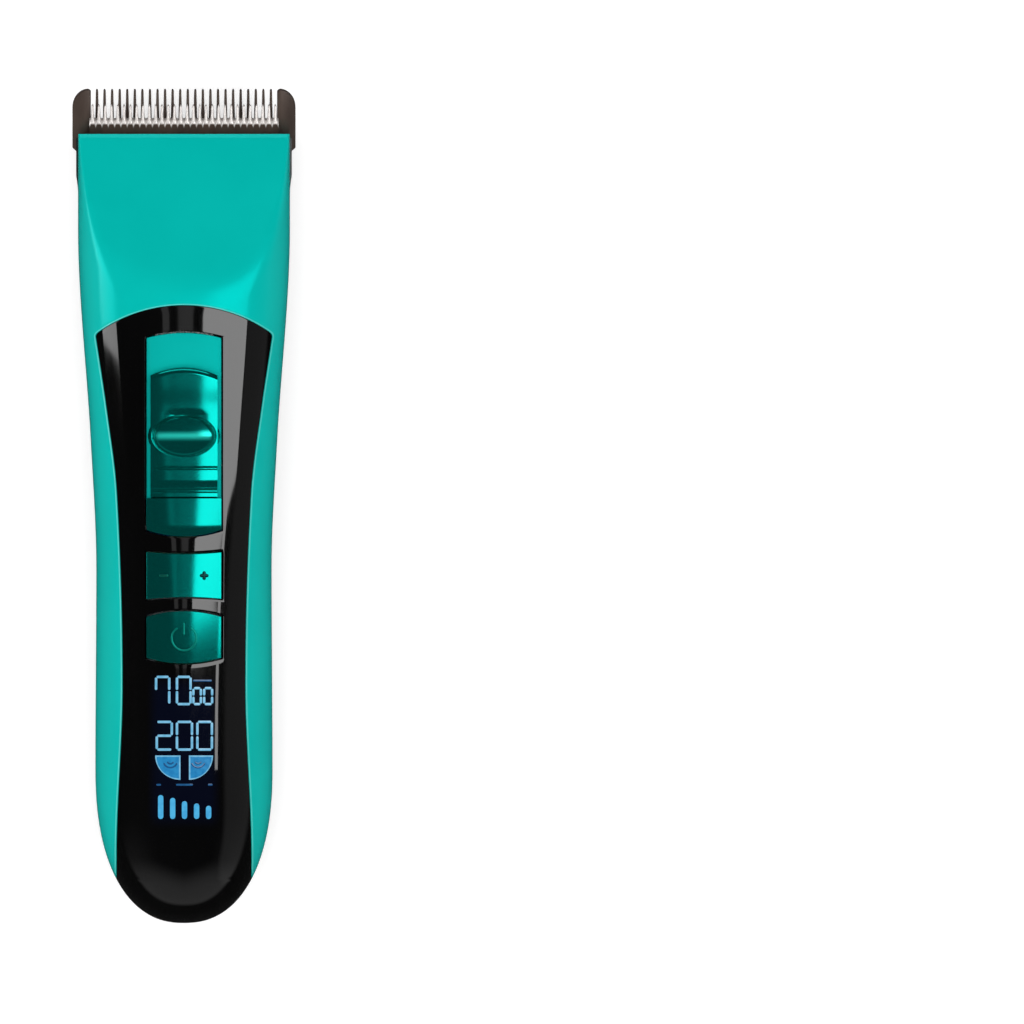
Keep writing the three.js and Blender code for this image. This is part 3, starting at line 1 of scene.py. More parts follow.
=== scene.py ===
# %% [markdown]
# # A cordless hair clipper
#
# The clipper lies on its back with its display up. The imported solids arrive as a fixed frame: every
# piece has its true place and moves with its own body. Here each visible piece gets its smooth skin
# and its finish. Lengths in the formulas are in millimetres, with X across, Y towards the blade and
# Z up, and become metres only when a mesh is written.

# %% Load the frame
import bpy
import json
import math
import numpy as np
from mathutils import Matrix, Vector

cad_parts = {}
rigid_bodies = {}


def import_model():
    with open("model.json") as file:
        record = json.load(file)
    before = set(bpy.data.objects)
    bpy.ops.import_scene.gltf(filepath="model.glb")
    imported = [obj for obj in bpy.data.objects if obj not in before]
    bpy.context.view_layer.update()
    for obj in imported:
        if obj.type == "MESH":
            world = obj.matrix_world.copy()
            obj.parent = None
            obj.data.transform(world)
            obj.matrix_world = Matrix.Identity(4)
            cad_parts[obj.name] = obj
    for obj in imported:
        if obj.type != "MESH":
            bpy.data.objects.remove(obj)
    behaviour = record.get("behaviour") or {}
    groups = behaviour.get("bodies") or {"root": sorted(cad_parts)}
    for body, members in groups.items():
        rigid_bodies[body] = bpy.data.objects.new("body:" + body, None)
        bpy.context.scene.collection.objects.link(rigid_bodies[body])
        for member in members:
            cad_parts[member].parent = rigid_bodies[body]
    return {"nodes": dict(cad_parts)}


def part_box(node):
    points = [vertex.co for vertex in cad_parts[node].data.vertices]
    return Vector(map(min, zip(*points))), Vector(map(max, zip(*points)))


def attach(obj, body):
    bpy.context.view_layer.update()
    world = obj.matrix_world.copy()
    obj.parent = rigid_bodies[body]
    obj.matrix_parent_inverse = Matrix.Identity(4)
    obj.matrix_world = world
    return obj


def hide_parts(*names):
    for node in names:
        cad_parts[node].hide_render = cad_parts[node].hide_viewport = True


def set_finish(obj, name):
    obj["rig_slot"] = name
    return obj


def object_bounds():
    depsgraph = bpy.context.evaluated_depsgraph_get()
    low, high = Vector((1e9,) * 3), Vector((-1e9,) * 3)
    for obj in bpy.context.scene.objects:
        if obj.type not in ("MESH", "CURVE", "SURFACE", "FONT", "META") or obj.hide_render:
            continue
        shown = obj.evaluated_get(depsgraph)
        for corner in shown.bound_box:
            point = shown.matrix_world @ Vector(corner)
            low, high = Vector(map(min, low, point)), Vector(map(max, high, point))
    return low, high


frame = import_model()
cad_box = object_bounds()
MM = 0.001


def corners(solid):
    """The lowest and the highest corner of a solid, in millimetres."""
    low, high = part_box(solid)
    return np.array(low) / MM, np.array(high) / MM


def points_of(mesh):
    """A mesh's points in millimetres, as rows of (x, y, z)."""
    flat = np.zeros(len(mesh.vertices) * 3)
    mesh.vertices.foreach_get("co", flat)
    return flat.reshape(-1, 3) / MM


# %% [markdown]
# ## The housing's form
#
# The housing is two shells of moulded plastic that meet at a level parting line. Across the clipper
# each shell is a superellipse: an ellipse pushed out towards its box, so that the front is flat with
# round shoulders. The plan, the front line and the back line say how wide, how high and how deep the
# section is at every place along the clipper, and the tail closes both with a rounded end.

# %% Lines along the clipper
housing_low, housing_high = corners("front_housing")
TAIL = cad_box[0][1] / MM
NOSE = housing_high[1]
PARTING = housing_low[2]
FRONT = corners("front_panel")[1][2]
SEAM = 0.3
TAPER, DOME = 33, 14


def smooth_line(stations):
    """A cubic through (place, value) stations, level at its ends and wherever it turns."""
    place, value = np.array(stations, float).T
    rise = np.diff(value)
    slope = np.zeros_like(value)
    keeps_on = rise[:-1] * rise[1:] > 0
    slope[1:-1][keeps_on] = ((value[2:] - value[:-2]) / (place[2:] - place[:-2]))[keeps_on]

    def line(at):
        """The line's value at a place; it stays level past both ends."""
        held = np.clip(at, place[0], place[-1])
        i = np.clip(np.searchsorted(place, held, side="right") - 1, 0, len(place) - 2)
        step = place[i + 1] - place[i]
        t = (held - place[i]) / step
        from_values = (2 * t**3 - 3 * t**2 + 1) * value[i] + (3 * t**2 - 2 * t**3) * value[i + 1]
        return from_values + step * ((t**3 - 2 * t**2 + t) * slope[i] + (t**3 - t**2) * slope[i + 1])

    return line


def eased(t):
    """A smooth step: 0 up to 0, 1 from 1 on, and t^2 (3 - 2t) between."""
    t = np.clip(t, 0, 1)
    return t**2 * (3 - 2 * t)


half_at = smooth_line([(TAIL + TAPER, 18.9), (NOSE - 93, 18.7), (NOSE - 65.3, 19.9), (NOSE - 20, 22.6)])
front_at = smooth_line([(TAIL, FRONT - 4), (TAIL + TAPER, FRONT), (NOSE, FRONT)])
back_at = smooth_line([(TAIL, 7.5), (TAIL + DOME, 6.5), (TAIL + 44, -0.9), (NOSE - 66, -0.9),
                       (NOSE - 37, 3.2), (NOSE - 26.9, 4.3)])
front_power_at = smooth_line([(TAIL + TAPER, 2.3), (NOSE - 102, 2.45), (NOSE - 74, 2.85), (NOSE - 45, 3)])
back_power_at = smooth_line([(TAIL + TAPER, 2.8), (NOSE - 65.3, 2.8), (NOSE - 26.9, 5)])
print(f"housing {NOSE - TAIL:.1f} mm long, {2 * half_at(NOSE):.1f} mm wide at the nose")

# %% [markdown]
# ## The section and the sloping head face
#
# A point of the section is found from a share t: the point (1 - t, t) of a straight line is pushed
# out along its ray onto the superellipse. That spaces the points evenly even where the curve is
# steep. The head face is a plane. A plain minimum of plane and section would leave a knife edge, so
# the two are blended over a small width, as a mould's rounded edge would be.

# %% Points of the surface
nose_points = points_of(frame["nodes"]["front_housing"].data)
LIP = nose_points[nose_points[:, 1] > NOSE - 0.01][:, 2].max()
FACE_LENGTH, FACE_BLEND = 33.3, 2.4
LIP_CHAMFER, LIP_FALL = 1.0, 0.34
PLAN_POWER, DOME_POWER = 2.3, 2.4
FACE_SLOPE = (FRONT - LIP) / FACE_LENGTH
print(f"lip at {LIP:.2f} mm, head face slopes {math.degrees(math.atan(FACE_SLOPE)):.1f} degrees")


def opened(distance, length, power):
    """How far a round end has opened: 0 at its tip, 1 where the straight part begins."""
    t = np.clip(distance / length, 0, 1)
    return (1 - (1 - t) ** power) ** (1 / power)


def width_at(y, inset=0.0):
    """Half the section's width: the plan's line times the opening of the tail."""
    return (half_at(y) - inset) * opened(y - TAIL - inset, TAPER - inset, PLAN_POWER)


def on_curve(t, power):
    """(across, up) on w^n + v^n = 1, along the ray through (1 - t, t)."""
    scale = ((1 - t) ** power + t**power) ** (-1 / power)
    return (1 - t) * scale, t * scale


def share_of(x, y, inset=0.0):
    """The share t of the front section's point that lies x across, 0 where x is past the edge."""
    w = np.clip(np.abs(x) / np.maximum(width_at(y, inset), 1e-6), 0, 1)
    power = front_power_at(y)
    v = (1 - w**power) ** (1 / power)
    return v / (v + w)


def soft_min(a, b, width):
    """The smaller of two heights, with their crossing rounded over a width."""
    near = np.maximum(width - np.abs(a - b), 0) / width
    return np.minimum(a, b) - near**2 * width / 4


def front_point(t, y, side, inset=0.0):
    """A front surface point at share t of the section at y, on one side, as (x, y, z)."""
    w, v = on_curve(t, front_power_at(y))
    rise = (front_at(y) - inset - PARTING) * opened(y - TAIL - inset, DOME - inset, DOME_POWER)
    plane = LIP - inset * math.hypot(1, FACE_SLOPE) + (NOSE - y) * FACE_SLOPE
    plane = plane - LIP_FALL * np.clip(y - (NOSE - LIP_CHAMFER), 0, LIP_CHAMFER)
    z = soft_min(PARTING + rise * v, plane, FACE_BLEND)
    return np.stack([side * w * width_at(y, inset), y, z], -1)


def front_height(x, y, inset=0.0):
    """The height of the front surface above the point (x, y)."""
    return front_point(share_of(x, y, inset), y, 1.0, inset)[..., 2]


# %% Meshes from grids
WELD = 2e-6
SHARP_ANGLE, RIM_ANGLE = 35, 50


def settle(piece):
    """The piece's modifiers are applied, and its faces shade smoothly but for its sharp edges."""
    bpy.context.view_layer.update()
    shaped = bpy.data.meshes.new_from_object(piece.evaluated_get(bpy.context.evaluated_depsgraph_get()))
    shaped.name = piece.name
    piece.modifiers.clear()
    piece.data = shaped
    shaped.shade_smooth()
    shaped.set_sharp_from_angle(angle=math.radians(SHARP_ANGLE))
    return piece


def in_scene(name, data):
    """A new object of some data, linked into the scene."""
    made = bpy.data.objects.new(name, data)
    bpy.context.scene.collection.objects.link(made)
    return made


def mesh_object(name, points, faces):
    """An object from points in millimetres; doubles and empty faces are dropped."""
    mesh = bpy.data.meshes.new(name)
    mesh.from_pydata(np.asarray(points, float).reshape(-1, 3) * MM, [], faces)
    piece = in_scene(name, mesh)
    piece.modifiers.new("weld", "WELD").merge_threshold = WELD
    return settle(piece)


def grid_faces(rows, columns, first=0, flip=False):
    """The quads of a grid of rows by columns whose points start at a given number."""
    corner = first + np.arange(rows - 1)[:, None] * columns + np.arange(columns - 1)[None, :]
    quads = np.stack([corner, corner + 1, corner + columns + 1, corner + columns], -1).reshape(-1, 4)
    return quads[:, ::-1] if flip else quads


def from_grids(name, grids, flip=False):
    """One object from several grids that share their borders."""
    points, faces, first = [], [], 0
    for grid in grids:
        rows, columns = grid.shape[:2]
        points.append(grid.reshape(-1, 3))
        faces.append(grid_faces(rows, columns, first, flip))
        first += rows * columns
    return mesh_object(name, np.concatenate(points), np.concatenate(faces).tolist())


def round_edges(piece, width, angle=40, segments=2):
    """A small round on every edge that is sharper than an angle."""
    edge = piece.modifiers.new("edge", "BEVEL")
    edge.width = width * MM
    edge.segments = segments
    edge.limit_method = "ANGLE"
    edge.angle_limit = math.radians(angle)
    return settle(piece)


def thicken(piece, thickness, rim):
    """Walls grow inwards from the skin, and the rims get a rounded edge."""
    wall = piece.modifiers.new("wall", "SOLIDIFY")
    wall.thickness = thickness * MM
    wall.offset = -1
    wall.use_even_offset = False
    return round_edges(piece, rim, RIM_ANGLE, segments=3) if rim else settle(piece)


def fit(piece, body, slot, solid=None):
    """The piece rides on a body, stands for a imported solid, and takes its finish from a slot."""
    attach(piece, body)
    if solid:
        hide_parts(solid)
    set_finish(piece, slot)


# %% [markdown]
# ## The panel's outline
#
# A black panel is let into the front shell. Its top is a shallow arc, its sides follow the waist,
# and at the tail it runs out over the rounded end. Shell and panel share this outline, a small gap
# apart, so it is one function with a growth: the right half, from the tail up its side, round the
# corner and along the arc to the middle.

# %% Outline of the panel
PANEL_TOP = NOSE - 36.5
SAGITTA = 6.2
TOP_HALF = 19.0
CORNER = 0.7
panel_half = smooth_line([(TAIL, 14.5), (TAIL + DOME, 14.5), (PANEL_TOP - 81, 13.2),
                          (PANEL_TOP - 40.3, 14.4), (PANEL_TOP - 22.2, 16.6),
                          (PANEL_TOP - SAGITTA, TOP_HALF), (PANEL_TOP + 8, TOP_HALF + 2)])


def outline_head(grow):
    """Where the arc's circle is: (radius, centre height, end angle, corner height, top of the side)."""
    radius = (TOP_HALF**2 + SAGITTA**2) / (2 * SAGITTA) + grow
    centre = PANEL_TOP + grow - radius
    chord = TOP_HALF + grow
    corner = centre + math.sqrt(radius**2 - chord**2)
    return radius, centre, math.acos((chord - CORNER) / radius), corner, corner - CORNER


def pairs(first, second):
    """Points from two coordinates, either of which may be one number."""
    return np.stack(np.broadcast_arrays(first, second), -1)


def on_circle(centre, radius, angle):
    """The points of a circle at some angles."""
    return pairs(centre[0] + radius * np.cos(angle), centre[1] + radius * np.sin(angle))


def panel_outline(y, grow, corner_count, arc_count):
    """The grown outline: the side at places y, a quadratic curve round the corner, and the arc."""
    radius, centre, end, corner, side_top = outline_head(grow)
    arc = on_circle((0, centre), radius, np.linspace(end, math.pi / 2, arc_count))
    foot = np.array([panel_half(side_top) + grow, side_top])
    handle = np.array([TOP_HALF + grow, corner])
    t = np.linspace(0, 1, corner_count)[:, None]
    bend = (1 - t) ** 2 * foot + 2 * t * (1 - t) * handle + t**2 * arc[0]
    return np.concatenate([pairs(panel_half(y) + grow, y), bend[1:], arc[1:]])


# %% [markdown]
# ## Front shell
#
# The shell's skin is one sheet between two curves: the panel's opening, and the shell's own edge,
# which is the parting line along the side and the lip across the nose. Each point of one curve is
# tied to a point of the other, and the sheet between is a straight blend of their shares and
# places, laid onto the surface. A wall grown inwards makes it a real moulding with a rounded rim.

# %% Front shell's skin
SHELL_WALL, SHELL_RIM, SHELL_ROWS = 2.2, 0.32, 70
ROW_POWER = 1.25


def shares_along(line):
    """Points (x, y) of a line on the front as (share, y)."""
    return pairs(share_of(*line.T), line[:, 1])


def blend_rows(inner, outer, rows):
    """Straight blends from one curve to another, with rows a little closer towards the outer one."""
    s = 1 - (1 - np.linspace(0, 1, rows)[:, None, None]) ** ROW_POWER
    return inner * (1 - s) + outer * s


def shell_skin(side):
    """The shell's skin on one side, from the opening (first row) to the outer edge (last row)."""
    corner_count, arc_count = 60, 80
    side_top = outline_head(0)[4]
    near_tail = np.linspace(TAIL, TAIL + 20, 4000)
    tail_end = near_tail[np.argmax(width_at(near_tail) > panel_half(near_tail) + 0.02)]
    y = tail_end + (side_top - tail_end) * np.linspace(0, 1, 150) ** 1.3
    up_side = np.linspace(side_top, NOSE, corner_count)[1:]
    over_nose = np.linspace(0, 1, arc_count)[1:]
    inner = shares_along(panel_outline(y, 0, corner_count, arc_count))
    outer = np.concatenate([pairs(0.0, np.concatenate([y, up_side])), pairs(over_nose, NOSE)])
    return front_point(*np.moveaxis(blend_rows(inner, outer, SHELL_ROWS), -1, 0), side)


def both_sides(make):
    """A skin and its mirror image, joined along the middle."""
    return np.concatenate([make(1.0), make(-1.0)[:, ::-1][:, 1:]], 1)


front_shell = from_grids("front_shell", [both_sides(shell_skin)], flip=True)
front_shell = thicken(front_shell, SHELL_WALL, SHELL_RIM)
fit(front_shell, "housing", "teal_housing", "front_housing")
print("front shell faces:", len(front_shell.data.polygons))

# %% [markdown]
# ## Rear shell
#
# The back half is drawn the same way below the parting line. The flat it lies on is where the level
# plane cuts the belly, again with a soft edge. The skin starts at the tail's tip and ends in front
# of the blade's hinge. The screw wells and the charging socket's pocket are cut from the finished
# wall with plain cutters, as a mould's cores would leave them.

# %% Rear shell's skin
REAR_END = corners("rear_housing")[1][1] - 5.4
REAR_TOP = PARTING - SEAM
FLAT_BLEND = 0.5
BACK_SHARES = np.concatenate([[0.0], np.linspace(0.012, 1, 56)])[None, :]


def back_point(t, y, side, inset=0.0):
    """A back surface point at share t of the section at y, from the seam down to the rest plane."""
    w, v = on_curve(t, back_power_at(y))
    fall = (PARTING - back_at(y) - inset) * opened(y - TAIL - inset, DOME - inset, DOME_POWER)
    z = -soft_min(np.maximum(fall - SEAM, 0) * v - REAR_TOP, -inset + 0 * y, FLAT_BLEND)
    return np.stack([side * w * width_at(y, inset), y, z], -1)


def back_sheet(y, inset=0.0):
    """A sheet of the back: rows at the places y, columns from the parting line to the middle and on."""
    y = np.asarray(y)[:, None] + 0 * BACK_SHARES
    return both_sides(lambda side: back_point(BACK_SHARES + 0 * y, y, side, inset))


tail_places = TAIL + TAPER * np.linspace(0, 1, 60) ** 2
rear_sheet = back_sheet(np.concatenate([tail_places, np.linspace(TAIL + TAPER, REAR_END, 90)[1:]]))
rear_shell = thicken(from_grids("rear_shell", [rear_sheet]), SHELL_WALL, 0)
fit(rear_shell, "housing", "black_housing", "rear_housing")
print("rear shell faces:", len(rear_shell.data.polygons))

# %% [markdown]
# ## Black panel
#
# The panel is a gloss moulding with three openings down its middle: the slider's slot, the rocker
# and the power button. Around them runs one ring, between them two bridges, and below them a sheet
# that carries on over the tail. All share their border points, so they weld into one skin.

# %% Openings of the panel
track_low, track_high = corners("slider_track")
rocker_low, rocker_high = corners("speed_rocker")
power_low, power_high = corners("power_button")
BUTTON_HALF, FLANGE, GAP = 8.0, 1.0, 0.3
OPEN_HALF = BUTTON_HALF + 0.35
ROCKER_BOW, POWER_BOW, COLUMN_TOP_BOW, COLUMN_END_BOW = -0.4, 1.2, 1.1, 1.4
ROCKER_TOP = rocker_high[1] - FLANGE + ROCKER_BOW
ROCKER_END = rocker_low[1] + FLANGE - ROCKER_BOW
POWER_TOP = power_high[1] - FLANGE
POWER_END = power_low[1] + FLANGE
COLUMN_TOP = track_high[1]
COLUMN_END = track_low[1]
print(f"column {COLUMN_END:.2f}..{COLUMN_TOP:.2f}, rocker {ROCKER_END:.2f}..{ROCKER_TOP:.2f}, "
      f"power {POWER_END:.2f}..{POWER_TOP:.2f}")


def bowed(end, bow, x):
    """An end line that is bowed back by its sagitta at the sides: end - bow (x / half)^2."""
    return end - bow * (x / OPEN_HALF) ** 2


# Each opening's two ends, as (height in the middle, bow): the bow is counted positive at a top.
ends = {
    "column top": (COLUMN_TOP + GAP, COLUMN_TOP_BOW),
    "column end": (COLUMN_END - GAP, -COLUMN_END_BOW),
    "rocker top": (ROCKER_TOP + GAP, ROCKER_BOW),
    "rocker end": (ROCKER_END - GAP, -ROCKER_BOW),
    "power top": (POWER_TOP + GAP, POWER_BOW),
    "power end": (POWER_END - GAP, -POWER_BOW),
}

# %% Skin of the panel
PANEL_GAP, PANEL_WALL, PANEL_RIM = -0.14, 1.6, 0.26
RING_ROWS = 26


def side_stations():
    """Places up the panel's side, from the power button's end, that hold every opening's corner."""
    marks = [bowed(*ends[name], OPEN_HALF) for name in
             ("power end", "power top", "rocker end", "rocker top", "column end")]
    marks.append(outline_head(PANEL_GAP)[4])
    counts = (24, 8, 20, 9, 70)
    runs = [np.linspace(low, high, count + 1)[:-1] for low, high, count in zip(marks, marks[1:], counts)]
    return np.concatenate(runs + [marks[-1:]])


def ring(side):
    """The ring's skin on one side, from the openings (first row) to the panel's edge (last row)."""
    corner_count, arc_count = 40, 50
    y = side_stations()
    up = np.linspace(y[-1], bowed(*ends["column top"], OPEN_HALF), corner_count)[1:]
    over = np.linspace(OPEN_HALF, 0, arc_count)[1:]
    inner = np.concatenate([pairs(OPEN_HALF, np.concatenate([y, up])),
                            pairs(over, bowed(*ends["column top"], over))])
    edge = panel_outline(y, PANEL_GAP, corner_count, arc_count)
    sheet = blend_rows(shares_along(inner), shares_along(edge), RING_ROWS)
    return front_point(*np.moveaxis(sheet, -1, 0), side)


def bridge(lower, upper, rows):
    """The skin between two openings: rows between the lower opening's top and the upper one's end."""
    x = np.linspace(-OPEN_HALF, OPEN_HALF, 41)[None, :]
    s = np.linspace(0, 1, rows + 1)[:, None]
    y = bowed(*ends[lower], x) * (1 - s) + bowed(*ends[upper], x) * s
    return front_point(share_of(x, y), y, np.sign(x))


def tail_sheet(side):
    """The skin below the power button: columns from the edge to the middle, rows to the tail's tip."""
    s = 1 - (1 - np.linspace(0, 1, 110)[:, None]) ** 1.6
    settled = eased(s * 2.2)
    corner_y = bowed(*ends["power end"], OPEN_HALF)
    edge_y = corner_y + (TAIL - corner_y) * s
    edge_t = share_of(panel_half(edge_y) + PANEL_GAP, edge_y)
    beside_t = share_of(OPEN_HALF, edge_y) * (1 - settled) + (edge_t * 0.6 + 0.4) * settled
    across = np.linspace(0, 1, RING_ROWS)[None, :] ** ROW_POWER
    outer_t = edge_t * (1 - across) + beside_t * across
    x = np.linspace(OPEN_HALF, 0, 21)[None, :]
    top_y = bowed(*ends["power end"], x)
    plain_t = beside_t + (1 - beside_t) * (1 - x / OPEN_HALF)
    inner_t = share_of(x, top_y) * (1 - settled) + plain_t * settled
    inner_y = top_y + (TAIL - top_y) * s
    t = np.concatenate([outer_t, inner_t[:, 1:]], 1)
    y = np.concatenate([edge_y + 0 * across, inner_y[:, 1:]], 1)
    return front_point(t, y, side)


panel = from_grids("gloss_panel", [
    both_sides(ring),
    bridge("rocker top", "column end", 9)[:, ::-1],
    bridge("power top", "rocker end", 8)[:, ::-1],
    both_sides(tail_sheet)[:, ::-1],
], flip=True)
panel = thicken(panel, PANEL_WALL, PANEL_RIM)
fit(panel, "housing", "gloss_panel", "front_panel")
print("panel faces:", len(panel.data.polygons))

# %% [markdown]
# ## Caps
#
# Buttons and slider parts are all caps: a bowed outline, a crown that follows the housing at a small
# height above it, and a rounded rim. One function makes such a cap from a grid over its outline, and
# takes a relief, which is a height added to the crown at each point.

# %% Caps
CAP_PROUD, CAP_DEPTH, CAP_RIM = 0.9, 2.0, 0.6


def cap_grid(half, end, end_bow, top, top_bow, columns, rows):
    """Grid points over a bowed outline, closer together near its rim: (x, y)."""
    def towards_rim(count):
        """Places from -1 to 1 that draw closer together towards both ends."""
        even = np.linspace(-1, 1, count)
        return np.sin(even * math.pi / 2) * 0.35 + even * 0.65

    across = towards_rim(columns)[None, :]
    up = (towards_rim(rows)[:, None] + 1) / 2
    low_y = end + end_bow * across**2
    high_y = top - top_bow * across**2
    return half * across + 0 * up, low_y * (1 - up) + high_y * up


def cap(name, outline, proud, depth, rim, relief=None, columns=70, rows=70):
    """A cap of some depth over a bowed outline, proud of the housing, with a relief on its crown."""
    x, y = cap_grid(*outline, columns, rows)
    z = front_height(x, y, -proud)
    if relief is not None:
        z = relief(x, y, z)
    return thicken(from_grids(name, [np.stack([x, y, z], -1)]), depth, rim)


def rocker_relief(x, y, z):
    """The rocker's crown leans a little towards the head."""
    return z - 0.02 * (y - (ROCKER_TOP + ROCKER_END) / 2)


def power_relief(x, y, z):
    """The power button's crown falls off towards its end."""
    return z - 0.14 * np.clip((POWER_TOP - y) / (POWER_TOP - POWER_END), 0, 1) ** 2


rocker = cap("rocker_cap", (BUTTON_HALF, ROCKER_END, ROCKER_BOW, ROCKER_TOP, ROCKER_BOW),
             CAP_PROUD, CAP_DEPTH, CAP_RIM, rocker_relief)
fit(rocker, "rocker", "metallic_teal", "speed_rocker")
power = cap("power_cap", (BUTTON_HALF, POWER_END, POWER_BOW, POWER_TOP, POWER_BOW),
            CAP_PROUD, CAP_DEPTH, CAP_RIM, power_relief)
fit(power, "power", "metallic_teal", "power_button")

# %% [markdown]
# ## Taper slider
#
# The thumb moves this knob to set the blade's taper. Its crown is one surface of height over (x, y): a
# shallow hollow where the thumb drops in, an oval rest with a ridge across it, a broad cross groove
# behind it and fine lines at its end. It runs on a flat track, and a fixed block ends the column.

# %% Knob, track and end block
knob_low, knob_high = corners("taper_slider")
KNOB_HALF, KNOB_TOP, KNOB_END = knob_high[0], knob_high[1], knob_low[1]
KNOB_PROUD, KNOB_DEPTH, KNOB_RIM, KNOB_BOW = 1.7, 1.9, 0.45, 1.7
SIDE_ROOM, END_ROOM = 0.45, 0.3
REST_Y = KNOB_TOP - 14.6
REST_HALF_X, REST_HALF_Y, REST_RISE = 6.6, 4.3, 1.25
REST_FLANK, RIDGE_FALL, RIDGE_ROUND = 0.11, 0.95, 0.15
HOLLOW_LENGTH, HOLLOW_DEPTH, DROP_DEPTH = 7.5, 0.22, 0.28
MOAT_DEPTH, MOAT_REACH = 0.16, 0.05
ROLL_DROP, ROLL_LENGTH = 0.9, 1.4


def bump_at(distance, reach):
    """A cosine bump: 1 in its middle, 0 from its reach on, level at both."""
    return (1 + np.cos(math.pi * np.clip(np.abs(distance) / reach, 0, 1))) / 2


def groove_line(distance, reach):
    """A groove with steep sides: exp(-(distance / reach)^4)."""
    return np.exp(-((distance / reach) ** 4))


def knob_relief(x, y, z):
    """Crown - hollow + rest + rib - grooves. The rest is an oval with steep sides and a rounded ridge."""
    rest_top, from_end = REST_Y + REST_HALF_Y, y - KNOB_END
    drop = np.clip((rest_top + 1.8 - y) / 1.6, 0, 1) * (y > REST_Y)
    hollow = (HOLLOW_DEPTH * bump_at(y - rest_top - 0.5, HOLLOW_LENGTH)
              + DROP_DEPTH * drop**2 * np.exp(-(((x - 0.6) / 3.0) ** 2)))
    along = (y - REST_Y) / REST_HALF_Y
    reach = np.sqrt((x / REST_HALF_X) ** 2 + along**2)
    inside = eased((1 - reach) / REST_FLANK)
    ridge = 1 - RIDGE_FALL * (np.sqrt(along**2 + RIDGE_ROUND**2) - RIDGE_ROUND)
    moat = MOAT_DEPTH * bump_at(reach - 1.005, MOAT_REACH)
    line = 0.35 * groove_line(from_end - 6.1, 0.28)
    rib = 0.16 * bump_at(from_end - 3.7, 1.9)
    groove = 0.42 * groove_line(from_end - 1.3, 0.36)
    to_rim = KNOB_TOP - KNOB_BOW * (x / KNOB_HALF) ** 2 - y
    roll = ROLL_DROP * np.clip(1 - to_rim / ROLL_LENGTH, 0, 1) ** 2
    return z - hollow * (1 - inside) + REST_RISE * inside * ridge - moat - line + rib - groove - roll


def block_relief(x, y, z):
    """The end block's crown dips a little towards its end."""
    return z - 0.3 * np.clip((COLUMN_END + 2.5 - y) / 2.5, 0, 1) ** 2


knob = cap("slider_knob", (KNOB_HALF - SIDE_ROOM, KNOB_END, 0.0, KNOB_TOP, KNOB_BOW),
           KNOB_PROUD, KNOB_DEPTH, KNOB_RIM, knob_relief, columns=110, rows=300)
fit(knob, "slider", "metallic_teal", "taper_slider")
track = cap("slider_floor", (BUTTON_HALF, KNOB_END - END_ROOM, 0.0, COLUMN_TOP, COLUMN_TOP_BOW),
            -0.6, 1.0, 0.2)
fit(track, "housing", "teal_housing", "slider_track")
end_block = cap("slider_end_block", (BUTTON_HALF, COLUMN_END, COLUMN_END_BOW, KNOB_END - END_ROOM, 0.0),
                CAP_PROUD, 2.2, 0.5, block_relief)
fit(end_block, "housing", "metallic_teal", "slider_track")
print(f"knob {KNOB_END:.1f}..{KNOB_TOP:.1f} mm, rest at {REST_Y:.1f} mm")

# %% [markdown]
# ## Raised marks and lit strokes
#
# The power sign, the plus and the minus stand a little proud of their caps, and the display shows
# plain figures. Each is a bead: a flattened tube that is carried along a line on the crown, half sunk
# into it, and drawn in to a round end. The same bead serves a moulded mark and a lit stroke.

# %% Beads
END_LENGTH, END_COUNT = 0.3, 6


def along_line(points, spacing):
    """Even points along a polyline that keep its corners, and the distance to the nearer end."""
    points = np.asarray(points, float)
    runs = np.linalg.norm(np.diff(points, axis=0), axis=1)
    marks = np.concatenate([[0], np.cumsum(runs)])
    total = marks[-1]
    near_end = np.linspace(0, 1, END_COUNT) ** 2 * min(END_LENGTH, total / 4)
    even = np.arange(spacing, total, spacing)
    places = np.unique(np.concatenate([near_end, marks, even, total - near_end]))
    line = np.stack([np.interp(places, marks, along_axis) for along_axis in points.T], -1)
    return line, np.minimum(places, total - places)


def bead_grid(points, width, rise, proud, spacing=0.35, sides=12):
    """The bead's grid: at each place an ellipse of width x rise, closed by a half circle at its ends."""
    line, to_end = along_line(points, spacing)
    ahead = np.gradient(line, axis=0)
    ahead /= np.linalg.norm(ahead, axis=1)[:, None]
    half = width / 2
    size = np.sqrt(np.clip(1 - (1 - np.clip(to_end / half, 0, 1)) ** 2, 0, 1))[:, None]
    angle = np.linspace(0, 2 * math.pi, sides + 1)[None, :]
    offset = half * size * np.cos(angle)
    x = line[:, :1] - offset * ahead[:, 1:]
    y = line[:, 1:] + offset * ahead[:, :1]
    z = front_height(x, y, -proud) + rise * size * np.sin(angle)
    return np.stack([x, y, z], -1)


def beads(name, lines, width, rise, proud=0.0, **more):
    """One piece from several beads."""
    return from_grids(name, [bead_grid(points, width, rise, proud, **more) for points in lines])


# %% Rolled edge of the shell round the panel
EDGE_OUT, EDGE_WIDTH, EDGE_RISE = 0.15, 0.28, 0.08
side_y = np.linspace(TAIL + 10.5, outline_head(EDGE_OUT)[4], 160)
right_line = panel_outline(side_y, EDGE_OUT, 9, 60)
whole_line = np.concatenate([right_line, (right_line * [-1, 1])[::-1][1:]])
# The bead's paler finish is a painted highlight along this edge.
panel_edge = beads("panel_edge", [whole_line], EDGE_WIDTH, EDGE_RISE, spacing=1.2)
fit(panel_edge, "housing", "teal_housing")

# %% Marks on the buttons
ROCKER_Y = (ROCKER_TOP + ROCKER_END) / 2
POWER_Y = (POWER_TOP + POWER_END) / 2
POWER_RING, RING_GAP = 2.6, 32
SIGN_X, ARM, MARK_RISE = 4.3, 0.95, 0.12


def level_bar(x):
    """A short level line on the rocker, with its middle at x."""
    return [(x - ARM, ROCKER_Y), (x + ARM, ROCKER_Y)]


